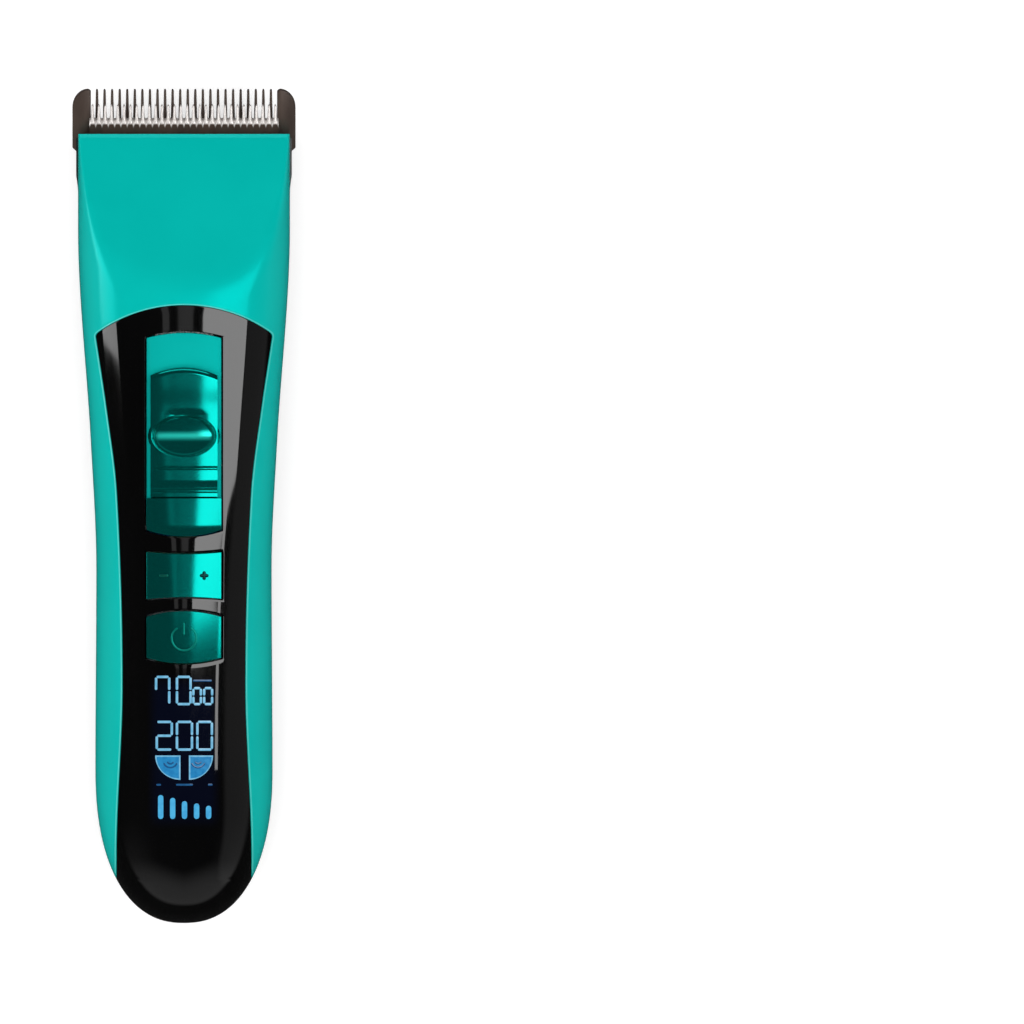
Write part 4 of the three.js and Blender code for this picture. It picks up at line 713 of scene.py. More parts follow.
turn = np.linspace(math.radians(90 + RING_GAP), math.radians(450 - RING_GAP), 60)
power_ring = on_circle((0, POWER_Y - 0.2), POWER_RING, turn)
power_bar = [(0, POWER_Y + 0.5), (0, POWER_Y + POWER_RING + 0.5)]
upright_bar = [(SIGN_X, ROCKER_Y - ARM), (SIGN_X, ROCKER_Y + ARM)]
power_sign = beads("power_sign", [power_ring, power_bar], 0.42, MARK_RISE, 0.86)
plus_sign = beads("plus_sign", [level_bar(SIGN_X), upright_bar], 0.75, MARK_RISE, CAP_PROUD)
minus_sign = beads("minus_sign", [level_bar(-SIGN_X)], 0.55, MARK_RISE, CAP_PROUD)
for piece, body in ((power_sign, "power"), (plus_sign, "rocker"), (minus_sign, "rocker")):
    fit(piece, body, "metallic_teal")
print(f"marks at {ROCKER_Y:.1f} and {POWER_Y:.1f} mm")

# %% [markdown]
# ## Figures on the display
#
# The display shines through the gloss panel. Its figures are drawn from the seven strokes of a
# numeral: three level ones and four upright ones. Above are a count of minutes and its small partner,
# below them the speed, two quarter discs that fill as the cutter works harder, and five level bars.

# %% Strokes of a numeral
STROKES = {"a": ((0, 2), (1, 2)), "b": ((1, 2), (1, 1)), "c": ((1, 1), (1, 0)), "d": ((0, 0), (1, 0)),
           "e": ((0, 1), (0, 0)), "f": ((0, 2), (0, 1)), "g": ((0, 1), (1, 1))}
NUMERALS = {"0": "abcdef", "2": "abged", "7": "abcf"}
SHORTEN = 0.12
DISPLAY_TOP = POWER_END - 1.8
LIT_RISE, DIM_RISE = 0.025, 0.02

# Each numeral as (figure, left, right, top, end), with top and end counted down from the display's top.
FIGURES = [("7", -5.95, -3.15, 1.1, 6.9), ("0", -1.5, 1.4, 1.1, 6.9), ("0", 2.0, 3.6, 3.5, 6.9),
           ("0", 4.3, 6.0, 3.5, 6.9), ("2", -5.8, -2.6, 10.7, 16.6), ("0", -1.5, 1.7, 10.7, 16.6),
           ("0", 2.85, 5.95, 10.7, 16.6)]
BARS = [(-4.97, 26.3), (-2.41, 26.9), (0.11, 27.6), (2.69, 28.1), (5.25, 28.6)]
BAR_END = 31.4
DASHES = [(1.9, 5.9, 1.9), (-1.7, 1.9, 24.1), (-5.9, -4.9, 24.1), (5.1, 6.1, 24.1)]


def numeral_lines(figure, left, right, low, high):
    """The strokes of one numeral in a rectangle, each drawn back a little from its corners."""
    def placed(corner):
        """A stroke's corner as a point of the rectangle."""
        return np.array([left + (right - left) * corner[0], low + (high - low) * corner[1] / 2])

    lines = []
    for stroke in NUMERALS[figure]:
        start, end = (placed(corner) for corner in STROKES[stroke])
        back = (end - start) / np.linalg.norm(end - start) * SHORTEN
        lines.append([start + back, end - back])
    return lines


stroke_lines = [line for figure, left, right, top, end in FIGURES
                for line in numeral_lines(figure, left, right, DISPLAY_TOP - end, DISPLAY_TOP - top)]
bar_lines = [[(x, DISPLAY_TOP - top), (x, DISPLAY_TOP - BAR_END)] for x, top in BARS]
dash_lines = [[(left, DISPLAY_TOP - down), (right, DISPLAY_TOP - down)] for left, right, down in DASHES]
figures = beads("display_figures", stroke_lines, 0.52, LIT_RISE)
bars = beads("display_bars", bar_lines, 1.15, LIT_RISE)
dashes = beads("display_dashes", dash_lines, 0.4, DIM_RISE)
print("strokes:", len(stroke_lines), "display from", round(DISPLAY_TOP, 1), "mm")

# %% Quarter discs
DISC_TOP, DISC_HEIGHT = 17.85, 5.2
DISCS = ((-1, 0.75, 6.15), (1, 1.05, 6.2))
SIGN_DROP = 1.1


def quarter(side, inner_x, outer_x, shrink):
    """A quarter disc's grid: rays from its square corner to a rim, round below and flat on top."""
    width = outer_x - inner_x - 2 * shrink
    height = DISC_HEIGHT - 2 * shrink
    angle = np.linspace(0, math.pi / 2, 31)[:, None]
    reach = np.linspace(0, 1, 9)[None, :]
    x = side * (inner_x + shrink + width * reach * np.cos(angle))
    y = DISPLAY_TOP - DISC_TOP - shrink - height * reach * np.sin(angle)
    return x, y


def disc_plate(name, shrink, low, high):
    """Two closed thin plates from the quarter grids, between two heights over the crown."""
    grids = []
    for side, inner_x, outer_x in DISCS:
        x, y = quarter(side, inner_x, outer_x, shrink)
        under, over = (np.stack([x, y, front_height(x, y, -height)], -1) for height in (low, high))
        rim = np.stack([over[:, -1], under[:, -1]], 1)
        start = np.stack([under[0], over[0]], 0)
        end = np.stack([over[-1], under[-1]], 0)
        plate = [over, under[:, ::-1], rim, start, end]
        grids += [grid[::-1] if side < 0 else grid for grid in plate]
    return from_grids(name, grids, flip=True)


disc_rims = disc_plate("display_disc_rims", 0.0, -0.05, 0.015)
disc_faces = disc_plate("display_disc_faces", 0.32, -0.04, 0.03)
sweep = np.linspace(math.radians(200), math.radians(340), 14)
arcs = [on_circle((centre_x, DISPLAY_TOP - DISC_TOP - SIGN_DROP), radius, sweep)
        for centre_x in (-2.9, 3.0) for radius in (0.7, 1.5)]
disc_signs = beads("display_disc_signs", arcs, 0.38, DIM_RISE, 0.035)
for piece in (figures, bars, dashes, disc_rims, disc_faces, disc_signs):
    fit(piece, "housing", "display_glass")

# %% [markdown]
# ## Blade frame
#
# The blade set leans up towards its tips. It is easiest to draw lying flat: x across, u along the
# blades to their tips, and v square off them. One function turns such points into place. Its origin
# comes from the fixed blade's solid: its foremost point and its highest point are both at the tips.

# %% Blade frame
LEAN = math.radians(20)
BLADE_THICK, TIP_THICK = 3.0, 1.2
TIP_UNDER = BLADE_THICK - TIP_THICK
blade_high = corners("fixed_blade")[1]
BLADE_Y = blade_high[1] + TIP_UNDER * math.sin(LEAN)
BLADE_Z = blade_high[2] - BLADE_THICK * math.cos(LEAN)
BLADE_HALF = blade_high[0]
BASE_INNER = BLADE_HALF - 2.6
SIDES = ((-1, "left"), (1, "right"))
turns = np.linspace(0, 2 * math.pi, 33)[:-1]


def leaned(points):
    """(x, u, v) in the blade frame to (x, y, z) in the clipper: turned about X by the lean, then moved."""
    x, u, v = np.moveaxis(np.asarray(points, float), -1, 0)
    return np.stack([x, BLADE_Y + u * math.cos(LEAN) - v * math.sin(LEAN),
                     BLADE_Z + u * math.sin(LEAN) + v * math.cos(LEAN)], -1)


def across_x(points):
    """(y, z, x) points of a side profile to (x, y, z): a turn of the axes, so the faces stay outward."""
    return np.asarray(points)[..., [2, 0, 1]]


def leaned_across(points):
    """(u, v, x) points of a side profile in the blade frame to (x, y, z)."""
    return leaned(across_x(points))


def prism(name, outline, low, high, place=None):
    """A flat outline of (a, b) points given height: walls round it and a face on each end, all outward."""
    outline = np.asarray(outline, float)
    a, b = outline.T
    if (a * np.roll(b, -1) - b * np.roll(a, -1)).sum() < 0:
        outline = outline[::-1]
    count = len(outline)
    points = np.concatenate([np.column_stack([outline, np.full(count, height)]) for height in (low, high)])
    i = np.arange(count)
    j = (i + 1) % count
    walls = np.stack([i, j, j + count, i + count], -1).tolist()
    faces = walls + [i[::-1].tolist(), (i + count).tolist()]
    return mesh_object(name, points if place is None else place(points), faces)


def box_outline(a0, a1, b0, b1):
    """The four corners of a rectangle."""
    return [(a0, b0), (a1, b0), (a1, b1), (a0, b1)]


def rounded_box(half_a, half_b, radius, centre, count=8):
    """A rectangle's outline with round corners."""
    angle = np.linspace(0, math.pi / 2, count)
    corners_at = [(centre[0] + a * (half_a - radius), centre[1] + b * (half_b - radius))
                  for a, b in ((1, 1), (-1, 1), (-1, -1), (1, -1))]
    return np.concatenate([on_circle(corner, radius, angle + quarter_turn * math.pi / 2)
                           for quarter_turn, corner in enumerate(corners_at)])


def disc(radius, centre):
    """A circle's outline."""
    return on_circle(centre, radius, turns)


def carve(piece, tools, operation="DIFFERENCE"):
    """Solid tools are cut from a piece, or joined to it, one after another; the tools are used up."""
    for tool in tools:
        step = piece.modifiers.new("carve", "BOOLEAN")
        step.operation = operation
        step.solver = "EXACT"
        step.object = tool
        settle(piece)
        bpy.data.objects.remove(tool)
    return piece


print(f"blade tips at y {blade_high[1]:.1f}, z {blade_high[2]:.1f} mm")

# %% [markdown]
# ## Fixed blade
#
# The comb is one hardened plate: slender teeth between two broad cheeks with a round outer corner, a
# body that narrows by a small step, and a long bevel ground under its tips. Its outline is worked out
# as one closed line and given thickness, and the bevel is cut away with a wedge.

# %% Fixed blade
TEETH, CHEEK_INNER, END_GAP = 24, BLADE_HALF - 3.95, 0.5
TEETH_PITCH = 2 * (CHEEK_INNER - END_GAP) / TEETH
TOOTH_LENGTH, TOOTH_TIP, TOOTH_ROOT = 9.0, 0.5, 0.85
CHEEK_CORNER = (3.4, 4.4)
CHEEK_LENGTH, STEP, HEEL_ROUND, BLADE_LENGTH = 13.0, 1.6, 5.0, 31.0
BEVEL_LENGTH, BEVEL_OUT, BEVEL_HALF = 12.0, (3.0, 2.0), 30
SCREW_X, SCREW_U, SEAT, SEAT_DEPTH = 14.0, -28.0, 3.1, 1.7
BLADE_EDGE = 0.09


def comb_line(count, pitch, tip, root, tip_u, root_u, rounding=5):
    """The outline over a row of teeth: up one side, round the tip as an arch, down the other side."""
    centre = (np.arange(count) - (count - 1) / 2)[:, None] * pitch
    arch = np.linspace(math.pi, 0, rounding)
    x = np.concatenate([[-root / 2], tip / 2 * np.cos(arch), [root / 2]])
    u = np.concatenate([[root_u], tip_u - tip + tip * np.sin(arch), [root_u]])
    return pairs(centre + x, u).reshape(-1, 2)


def cheek_side():
    """The right side of the fixed blade: cheek, round corner, step and rounded heel."""
    down = np.linspace(math.pi / 2, 0, 12)
    corner = np.stack([BLADE_HALF - CHEEK_CORNER[0] * (1 - np.cos(down)),
                       -CHEEK_CORNER[1] * (1 - np.sin(down))], -1)
    heel = np.stack([BLADE_HALF - STEP - HEEL_ROUND * (1 - np.cos(down[::-1])),
                     HEEL_ROUND * (1 - np.sin(down[::-1])) - BLADE_LENGTH], -1)
    return np.concatenate([
        [(CHEEK_INNER, -TOOTH_LENGTH), (CHEEK_INNER, -0.5), (CHEEK_INNER + 0.25, -0.2)], corner,
        [(BLADE_HALF, -CHEEK_LENGTH), (BLADE_HALF - STEP, -CHEEK_LENGTH - STEP)], heel])


right_side = cheek_side()
left_side = right_side[::-1] * (-1, 1)
comb = comb_line(TEETH, TEETH_PITCH, TOOTH_TIP, TOOTH_ROOT, 0.0, -TOOTH_LENGTH)
fixed_blade = prism("comb_blade", np.concatenate([left_side, comb, right_side]), 0, BLADE_THICK, leaned)
ahead, under = BEVEL_OUT
bevel = prism("bevel", [(-BEVEL_LENGTH, -under), (ahead, -under), (ahead, TIP_UNDER), (0.0, TIP_UNDER),
                        (-BEVEL_LENGTH, 0.0)], -BEVEL_HALF, BEVEL_HALF, leaned_across)
screw_seats = [prism("seat", disc(SEAT, (side * SCREW_X, SCREW_U)), -1.0, SEAT_DEPTH, leaned)
               for side, _ in SIDES]
fixed_blade = round_edges(carve(fixed_blade, [bevel] + screw_seats), BLADE_EDGE)
fit(fixed_blade, "blade_set", "dark_blade_steel", "fixed_blade")
print("comb blade faces:", len(fixed_blade.data.polygons))

# %% [markdown]
# ## Cutter
#
# The cutter slides on the comb. Its teeth are ground on a slope, and a grinding wheel leaves a groove
# in line with each gap, which runs out behind the roots as a bright point in the dark coating. Each
# tooth is a closed tube of one grid: its width opens from the tip to the root and then, in a small
# round, to the whole pitch, where it meets its neighbour.

# %% Cutter teeth
CUT_TEETH, CUT_HALF = 30, CHEEK_INNER + 0.31
CUT_PITCH = 2 * CUT_HALF / CUT_TEETH
CUT_TIP, CUT_ROOT, SLOPE_END, GROOVE_END, ROW_BACK = -3.0, -5.9, -6.7, -7.8, -9.4
CUT_LOW, CUT_HIGH, CUT_EDGE = 3.3, 5.5, 0.9
POINT, POINT_POWER, GULLET = 0.45, 0.6, 0.3
TIP_HALF, TIP_OPENING, GROOVE = 0.2, 0.16, 0.75
centres = (np.arange(CUT_TEETH) - (CUT_TEETH - 1) / 2) * CUT_PITCH

# A tooth's places from its tip back: the point, the blade, the round at its root, and the groove. In
# the first three a tooth stands free, and from there on it is joined to its neighbours.
tooth_places = [CUT_TIP - POINT * np.linspace(0, 1, 5) ** 2, np.linspace(CUT_TIP - 2 * POINT, CUT_ROOT, 8),
                CUT_ROOT - GULLET * np.linspace(0.2, 1, 6), np.linspace(CUT_ROOT - 0.45, GROOVE_END, 9)]
FREE_ROWS = sum(len(run) for run in tooth_places[:3])


def tooth_half(u):
    """Half a tooth's width: a pointed tip, a slow taper, then a quarter round to half the pitch."""
    point = np.clip((CUT_TIP - u) / POINT, 0, 1) ** POINT_POWER
    taper = TIP_HALF + TIP_OPENING * np.clip((CUT_TIP - u) / (CUT_TIP - CUT_ROOT), 0, 1)
    gullet = np.clip((CUT_ROOT - u) / GULLET, 0, 1)
    opening = 1 - np.sqrt(np.clip(1 - gullet**2, 0, 1))
    return point * taper + (CUT_PITCH / 2 - taper) * opening


def groove_at(across, u):
    """The V groove's depth: it narrows from three quarters of the half pitch at the roots to a point."""
    run_out = np.clip((u - GROOVE_END) / (CUT_ROOT - GROOVE_END), 0, 1)
    return np.clip((np.abs(across) - (1 - GROOVE * run_out)) / GROOVE, 0, 1) * GROOVE * run_out


def cutter_top(across, u):
    """The ground slope up to the body's top, less the V groove towards each pitch line."""
    slope = np.clip((CUT_TIP - u) / (CUT_TIP - SLOPE_END), 0, 1)
    return CUT_LOW + CUT_EDGE + (CUT_HIGH - CUT_LOW - CUT_EDGE) * slope - groove_at(across, u)


def tooth_grids(number):
    """A tooth's tube: upper and lower sheet, 13 columns wide, its two sides and the row's end."""
    u = np.concatenate(tooth_places + [[ROW_BACK]])[:, None]
    share = np.linspace(-1, 1, 13)[None, :]
    x = centres[number] + share * tooth_half(u)
    over, under = (np.stack([x, u + 0 * x, v + 0 * x], -1) for v in
                   (cutter_top(2 * (x - centres[number]) / CUT_PITCH, u), CUT_LOW))
    grids = [over, under[:, ::-1]]
    for column, outermost in ((0, 0), (-1, CUT_TEETH - 1)):
        stop = None if number == outermost else FREE_ROWS
        wall = np.stack([over[:stop, column], under[:stop, column]], 1)
        grids.append(wall if column == -1 else wall[:, ::-1])
    return grids + [np.stack([over[-1], under[-1]], 0)]


tooth_sheets = [leaned(grid) for number in range(CUT_TEETH) for grid in tooth_grids(number)]
cutter_teeth = from_grids("cutter_teeth", tooth_sheets, flip=True)


def mark_ground(piece):
    """An attribute that is 1 where the wheel has bared the steel and 0 where the dark coating is left."""
    x, y, z = points_of(piece.data).T
    u = (y - BLADE_Y) * math.cos(LEAN) + (z - BLADE_Z) * math.sin(LEAN)
    nearest = centres[np.abs(x[:, None] - centres[None, :]).argmin(1)]
    groove = groove_at(2 * (x - nearest) / CUT_PITCH, u)
    bare = np.clip(np.maximum((u - SLOPE_END + 0.15) / 0.3, groove / 0.08), 0, 1)
    bared = piece.data.attributes.new("bare_steel", "FLOAT", "POINT")
    bared.data.foreach_set("value", bare.astype(np.float32))


mark_ground(cutter_teeth)

# %% Cutter body
BODY_HALF, HEEL_U, HEEL_CUT, SHOULDER = BASE_INNER - 2.2, -24.0, 1.5, ROW_BACK - 0.9
PEG_HOLE, PEG_X, PEG_U = 1.6, 7.0, -16.5
body_outline = [(-BODY_HALF, SHOULDER), (-CUT_HALF, ROW_BACK), (CUT_HALF, ROW_BACK), (BODY_HALF, SHOULDER),
                (BODY_HALF, HEEL_U + HEEL_CUT), (BODY_HALF - HEEL_CUT, HEEL_U),
                (HEEL_CUT - BODY_HALF, HEEL_U), (-BODY_HALF, HEEL_U + HEEL_CUT)]
cutter_body = prism("cutter_body", body_outline, CUT_LOW, CUT_HIGH, leaned)
peg_holes = [prism("hole", disc(PEG_HOLE, (side * PEG_X, PEG_U)), 2.0, 7.0, leaned) for side, _ in SIDES]
cutter_body = round_edges(carve(cutter_body, peg_holes), 0.12)
for piece in (cutter_teeth, cutter_body):
    fit(piece, "cutter", "ground_blade_steel", "moving_blade")
print("cutter faces:", len(cutter_teeth.data.polygons), "pitch", round(CUT_PITCH, 3), "mm")

# %% [markdown]
# ## Blade base and hinge
#
# Under the head a wedge carries the blades. It fills what the rear shell leaves, is open over the
# cutter, and turns on two hooks of the rear shell so that the blades swing out for cleaning. Its outer
# face is the housing's own surface, a hair prouder, so it is the common part of a side profile and a
# closed slab under that surface.

# %% Blade base
HINGE_U, HINGE_V, BARREL, PIN, PIN_ROOM = -34.5, 2.8, 2.6, 1.2, 0.3
HOOK_X, HOOK_HALF, HOOK_OUTER, ARM_HALF = 11.0, 2.0, 2.4, 1.0
PIN_HALF, NOTCH_HALF, NOTCH_ROOM = 3, 2.4, 2.8
BASE_UNDER, BASE_TOP, BASE_BACK, BASE_SLOPE = 3.3, REAR_TOP, -31.3, 2.6
BASE_PROUD, BASE_EDGE = 0.4, 0.3
_, HINGE_Y, HINGE_Z = leaned((0.0, HINGE_U, HINGE_V))


def slab(name, y, inset):
    """The closed solid between the back surface and the seam's level: sheet, flat shadow and ends."""
    sheet = back_sheet(y, inset)
    flat = sheet * (1, 1, 0) + (0, 0, REAR_TOP)
    ends_of = [np.stack([flat[0], sheet[0]], 0), np.stack([sheet[-1], flat[-1]], 0)]
    return from_grids(name, [sheet, flat[:, ::-1]] + ends_of)


def side_point(u, v):
    """(y, z) of a place on the blade frame's middle plane."""
    return leaned((0.0, u, v))[1:]


front_u = (BASE_TOP - BLADE_Z - BASE_UNDER * math.cos(LEAN)) / math.sin(LEAN)
swing = -math.pi / 2 + LEAN - np.linspace(0, 0.72 * math.pi, 17)
barrel = on_circle((HINGE_Y, HINGE_Z), BARREL, swing)
back_y = barrel[-1, 0]
base_profile = np.concatenate([
    [(side_point(front_u, BASE_UNDER)[0], BASE_TOP), side_point(BASE_BACK, BASE_UNDER),
     side_point(BASE_BACK, 0.2)],
    barrel, [(back_y + 0.3, BASE_TOP - BASE_SLOPE), (back_y + BASE_SLOPE, BASE_TOP)]])
blade_base = prism("hinged_base", base_profile, -40, 40, across_x)
base_y = np.linspace(HINGE_Y - 6, NOSE + 1, 60)
base_proud = BASE_PROUD * np.clip((base_y - NOSE + 13) / 4, 0, 1) ** 2
blade_base = carve(blade_base, [slab("base_slab", base_y, -base_proud[:, None])], "INTERSECT")
opening = prism("opening", box_outline(-BASE_INNER, BASE_INNER, -26.6, 20), -10, 30, leaned)
notch = box_outline(HINGE_Y - 5, HINGE_Y + NOTCH_ROOM, 0, HINGE_Z + NOTCH_ROOM)
notches = [prism("notch", notch, side * HOOK_X - NOTCH_HALF, side * HOOK_X + NOTCH_HALF, across_x)
           for side, _ in SIDES]
blade_base = round_edges(carve(blade_base, [opening] + notches), BASE_EDGE, angle=45)
fit(blade_base, "blade_set", "black_housing", "blade_base")

# %% Hinge


def bar_across(name, radius, middle, half):
    """A round bar along the hinge's axis, of half a length to either side of its middle."""
    return prism(name, disc(radius, (HINGE_Y, HINGE_Z)), middle - half, middle + half, across_x)


for side, label in SIDES:
    middle = side * HOOK_X
    pin = round_edges(bar_across(f"hinge_pin_{label}", PIN, middle, PIN_HALF), 0.1)
    fit(pin, "blade_set", "black_housing", "blade_base")
    hook = bar_across(f"hinge_hook_{label}", HOOK_OUTER, middle, HOOK_HALF)
    arm = prism("arm", box_outline(REAR_END - 4, HINGE_Y, HINGE_Z - ARM_HALF, HINGE_Z + ARM_HALF),
                middle - HOOK_HALF, middle + HOOK_HALF, across_x)
    bore = bar_across("bore", PIN + PIN_ROOM, middle, 2 * HOOK_HALF)
    hook = round_edges(carve(carve(hook, [arm], "UNION"), [bore]), 0.25)
    fit(hook, "housing", "black_housing", "rear_housing")
print(f"hinge at y {HINGE_Y:.1f}, z {HINGE_Z:.1f} mm")

# %% [markdown]
# ## Cores of the shells
#
# The screws that close the housing sit in deep wells in the rear shell, each in its own boss, and the
# charging socket lies in a pocket in the tail. The front shell's side walls are relieved for the
# cutter and its carriage. Each is a plain cutter taken out of the finished wall.

# %% Wells, pocket and mouth
SCREW_SEAT, WELL, PILOT, BOSS, BOSS_LIFT = 7.4, 2.9, 1.6, 4.1, 1.2
POCKET_HALF, POCKET_RISE, POCKET_CORNER, POCKET_WALL = 6.2, 2.6, 1.0, 2.4
PAD_HALF, PAD_RISE, PAD_INSET = 8, 4, 2.0
SOCKET = (4.77, 1.93, 1.92)
screw_names = [f"housing_screw_{end}_{side}" for end in ("tail", "neck") for _, side in SIDES]
screw_places = [tuple(sum(corners(name))[:2] / 2) for name in screw_names]
inlet_low, inlet_high = corners("inlet_shell")
INLET_Z = (inlet_low[2] + inlet_high[2]) / 2
POCKET_Y = inlet_low[1] - 0.2


def boss(place):
    """A boss that stands in the rear shell round a screw's well, from just over the shell's skin."""
    x, y = place
    floor = float(back_point(np.array(1 - abs(x) / 25), np.array(y), 1.0)[2])
    return prism("boss", disc(BOSS, place), floor + BOSS_LIFT, REAR_TOP - 0.05)


pad = prism("pad", box_outline(-PAD_HALF, PAD_HALF, TAIL - 1, POCKET_Y + POCKET_WALL),
            INLET_Z - PAD_RISE, INLET_Z + PAD_RISE)
inside_y = TAIL + 2.3 + 40 * np.linspace(0, 1, 60) ** 2
pad = carve(pad, [slab("inside", inside_y, PAD_INSET)], "INTERSECT")
rear_shell = carve(rear_shell, [boss(place) for place in screw_places] + [pad], "UNION")
wells = [prism("well", disc(WELL, place), -3, SCREW_SEAT) for place in screw_places]
pilots = [prism("pilot", disc(PILOT, place), SCREW_SEAT - 1, 20) for place in screw_places]
pocket = prism("pocket", rounded_box(POCKET_HALF, 2.0 + POCKET_Y - TAIL, POCKET_CORNER, (0, TAIL - 2)),
               INLET_Z - POCKET_RISE, INLET_Z + POCKET_RISE)
socket_hole = prism("socket_hole", rounded_box(*SOCKET, (0, INLET_Z)), -TAIL - 20, -TAIL + 1,
                    lambda points: points[:, [0, 2, 1]] * (1, -1, 1))
rear_shell = carve(rear_shell, wells + pilots + [pocket, socket_hole])
rear_shell = round_edges(rear_shell, 0.22, angle=RIM_ANGLE)
mouth = [prism("mouth", box_outline(-BASE_INNER, BASE_INNER, start, end), -3, top, leaned)
         for start, end, top in ((-22, -10.5, 7.6), (-10.8, 20, 5.8))]
front_shell = carve(front_shell, mouth)
for shell in (rear_shell, front_shell):
    print(shell.name, "faces:", len(shell.data.polygons))

# %% [markdown]
# ## Housing screws
#
# A pan head with a cross recess is a turned profile with a tapered cross pressed into it. The four are
# alike, so one function makes them where the solids are.

# %% Screws
PAN, SHANK, PAN_RISE = 2.6, 1.3, 1.6
RECESS_DEPTH, RECESS_REACH, RECESS_WIDTH, RECESS_TAPER = 1.3, 1.45, 0.42, 0.55


def turned(name, profile, centre, count=40):
    """A profile of (radius, height) carried round an upright axis; it starts and ends on the axis."""
    radius, height = np.array(profile, float).T[:, :, None]
    angle = np.linspace(0, 2 * math.pi, count + 1)[None, :]
    flat = on_circle(centre, radius, angle)
    return from_grids(name, [np.concatenate([flat, (height + 0 * angle)[..., None]], -1)])


def cross_recess(centre, head_z):
    """Two tapered bars that cross: the cutter of a driver's recess, in a head that looks down."""
    bars_of = []
    for across, along_it in ((RECESS_REACH, RECESS_WIDTH), (RECESS_WIDTH, RECESS_REACH)):
        mouth_of = np.array(box_outline(-across, across, -along_it, along_it))
        points = np.concatenate([np.column_stack([mouth_of + centre, np.full(4, head_z - 0.5)]),
                                 np.column_stack([mouth_of * RECESS_TAPER + centre,
                                                  np.full(4, head_z + RECESS_DEPTH)])])
        faces = [[0, 1, 5, 4], [1, 2, 6, 5], [2, 3, 7, 6], [3, 0, 4, 7], [3, 2, 1, 0], [4, 5, 6, 7]]
        bars_of.append(mesh_object("recess", points, faces))
    return bars_of


def pan_screw(name, centre):
    """A pan head screw, head down: from the head's face up to the tip of its shank."""
    low, high = corners(name)
    head, tip = low[2], high[2]
    profile = [(0, head), (PAN - 0.5, head), (PAN - 0.15, head + 0.12), (PAN, head + 0.45),
               (PAN, head + PAN_RISE), (SHANK, head + PAN_RISE + 0.3), (SHANK, tip - 1.0), (0.6, tip),
               (0, tip)]
    return carve(turned(f"pan_{name}", profile, centre), cross_recess(np.array(centre), head))


for name, place in zip(screw_names, screw_places):
    fit(pan_screw(name, place), "housing", "plain_steel", name)
print("screws at", [(round(float(x), 1), round(float(y), 1)) for x, y in screw_places])

# %% [markdown]
# ## Finishes
#
# Moulded plastic, painted caps, ground steel and glass differ in how even they are. Every finish here
# is a Principled surface with three layers of detail in Object coordinates: a broad cloud that drifts
# the colour between two near tones, a fine grain that varies the roughness, and a bump of that same
# grain. What is the same all over the surface is set on the shader itself.

# %% Shader helpers


def add_node(tree, kind, **inputs):
    """A new shader node; each input is named as on the node, with _ for a space."""
    made = tree.nodes.new(kind)
    for key, value in inputs.items():
        made.inputs[key.replace("_", " ")].default_value = value
    return made


def shader_of(material):
    """A material's node tree and its Principled shader."""
    return material.node_tree, material.node_tree.nodes["Principled BSDF"]


def object_place(tree, stretch=(1, 1, 1)):
    """Object coordinates, scaled along the axes."""
    where = tree.nodes.new("ShaderNodeTexCoord")
    stretched = add_node(tree, "ShaderNodeMapping", Scale=stretch)
    tree.links.new(where.outputs["Object"], stretched.inputs["Vector"])
    return stretched.outputs["Vector"]


def noise_at(tree, place, **inputs):
    """A noise over some coordinates."""
    made = add_node(tree, "ShaderNodeTexNoise", **inputs)
    tree.links.new(place, made.inputs["Vector"])
    return made.outputs["Fac"]


def tones(tree, value, first, second, start=0.0, end=1.0):
    """A colour that goes from one tone to a second as a value goes from start to end."""
    made = tree.nodes.new("ShaderNodeValToRGB")
    for stop, place, tone in zip(made.color_ramp.elements, (start, end), (first, second)):
        stop.position, stop.color = place, (*tone, 1)
    tree.links.new(value, made.inputs["Fac"])
    return made.outputs["Color"]


def lay_over(material, share, colour):
    """A colour, a socket or a value, is laid over a finish's base colour by a share."""
    tree, surface = shader_of(material)
    mix = tree.nodes.new("ShaderNodeMix")
    mix.data_type = "RGBA"
    tree.links.new(share, mix.inputs["Factor"])
    tree.links.new(surface.inputs["Base Color"].links[0].from_socket, mix.inputs["A"])
    if isinstance(colour, tuple):
        mix.inputs["B"].default_value = (*colour, 1)
    else:
        tree.links.new(colour, mix.inputs["B"])
    tree.links.new(mix.outputs["Result"], surface.inputs["Base Color"])


def axes_of(tree, kind="Object"):
    """The x, y and z outputs of Object coordinates, in metres, or of another kind."""
    where = tree.nodes.new("ShaderNodeTexCoord")
    parts = tree.nodes.new("ShaderNodeSeparateXYZ")
    tree.links.new(where.outputs[kind], parts.inputs["Vector"])
    return parts.outputs


def sum_of(tree, operation, first, second=0.0):
    """A Math node of two inputs, each a socket or a number."""
    made = tree.nodes.new("ShaderNodeMath")
    made.operation = operation
    for slot, value in enumerate((first, second)):
        if isinstance(value, (int, float)):
            made.inputs[slot].default_value = value
        else:
            tree.links.new(value, made.inputs[slot])
    return made.outputs[0]


def soft_step(tree, value, start, end):
    """0 before start, 1 after end, smooth between."""
    made = add_node(tree, "ShaderNodeMapRange", From_Min=start, From_Max=end)
    made.interpolation_type = "SMOOTHSTEP"
    tree.links.new(value, made.inputs["Value"])
    return made.outputs["Result"]


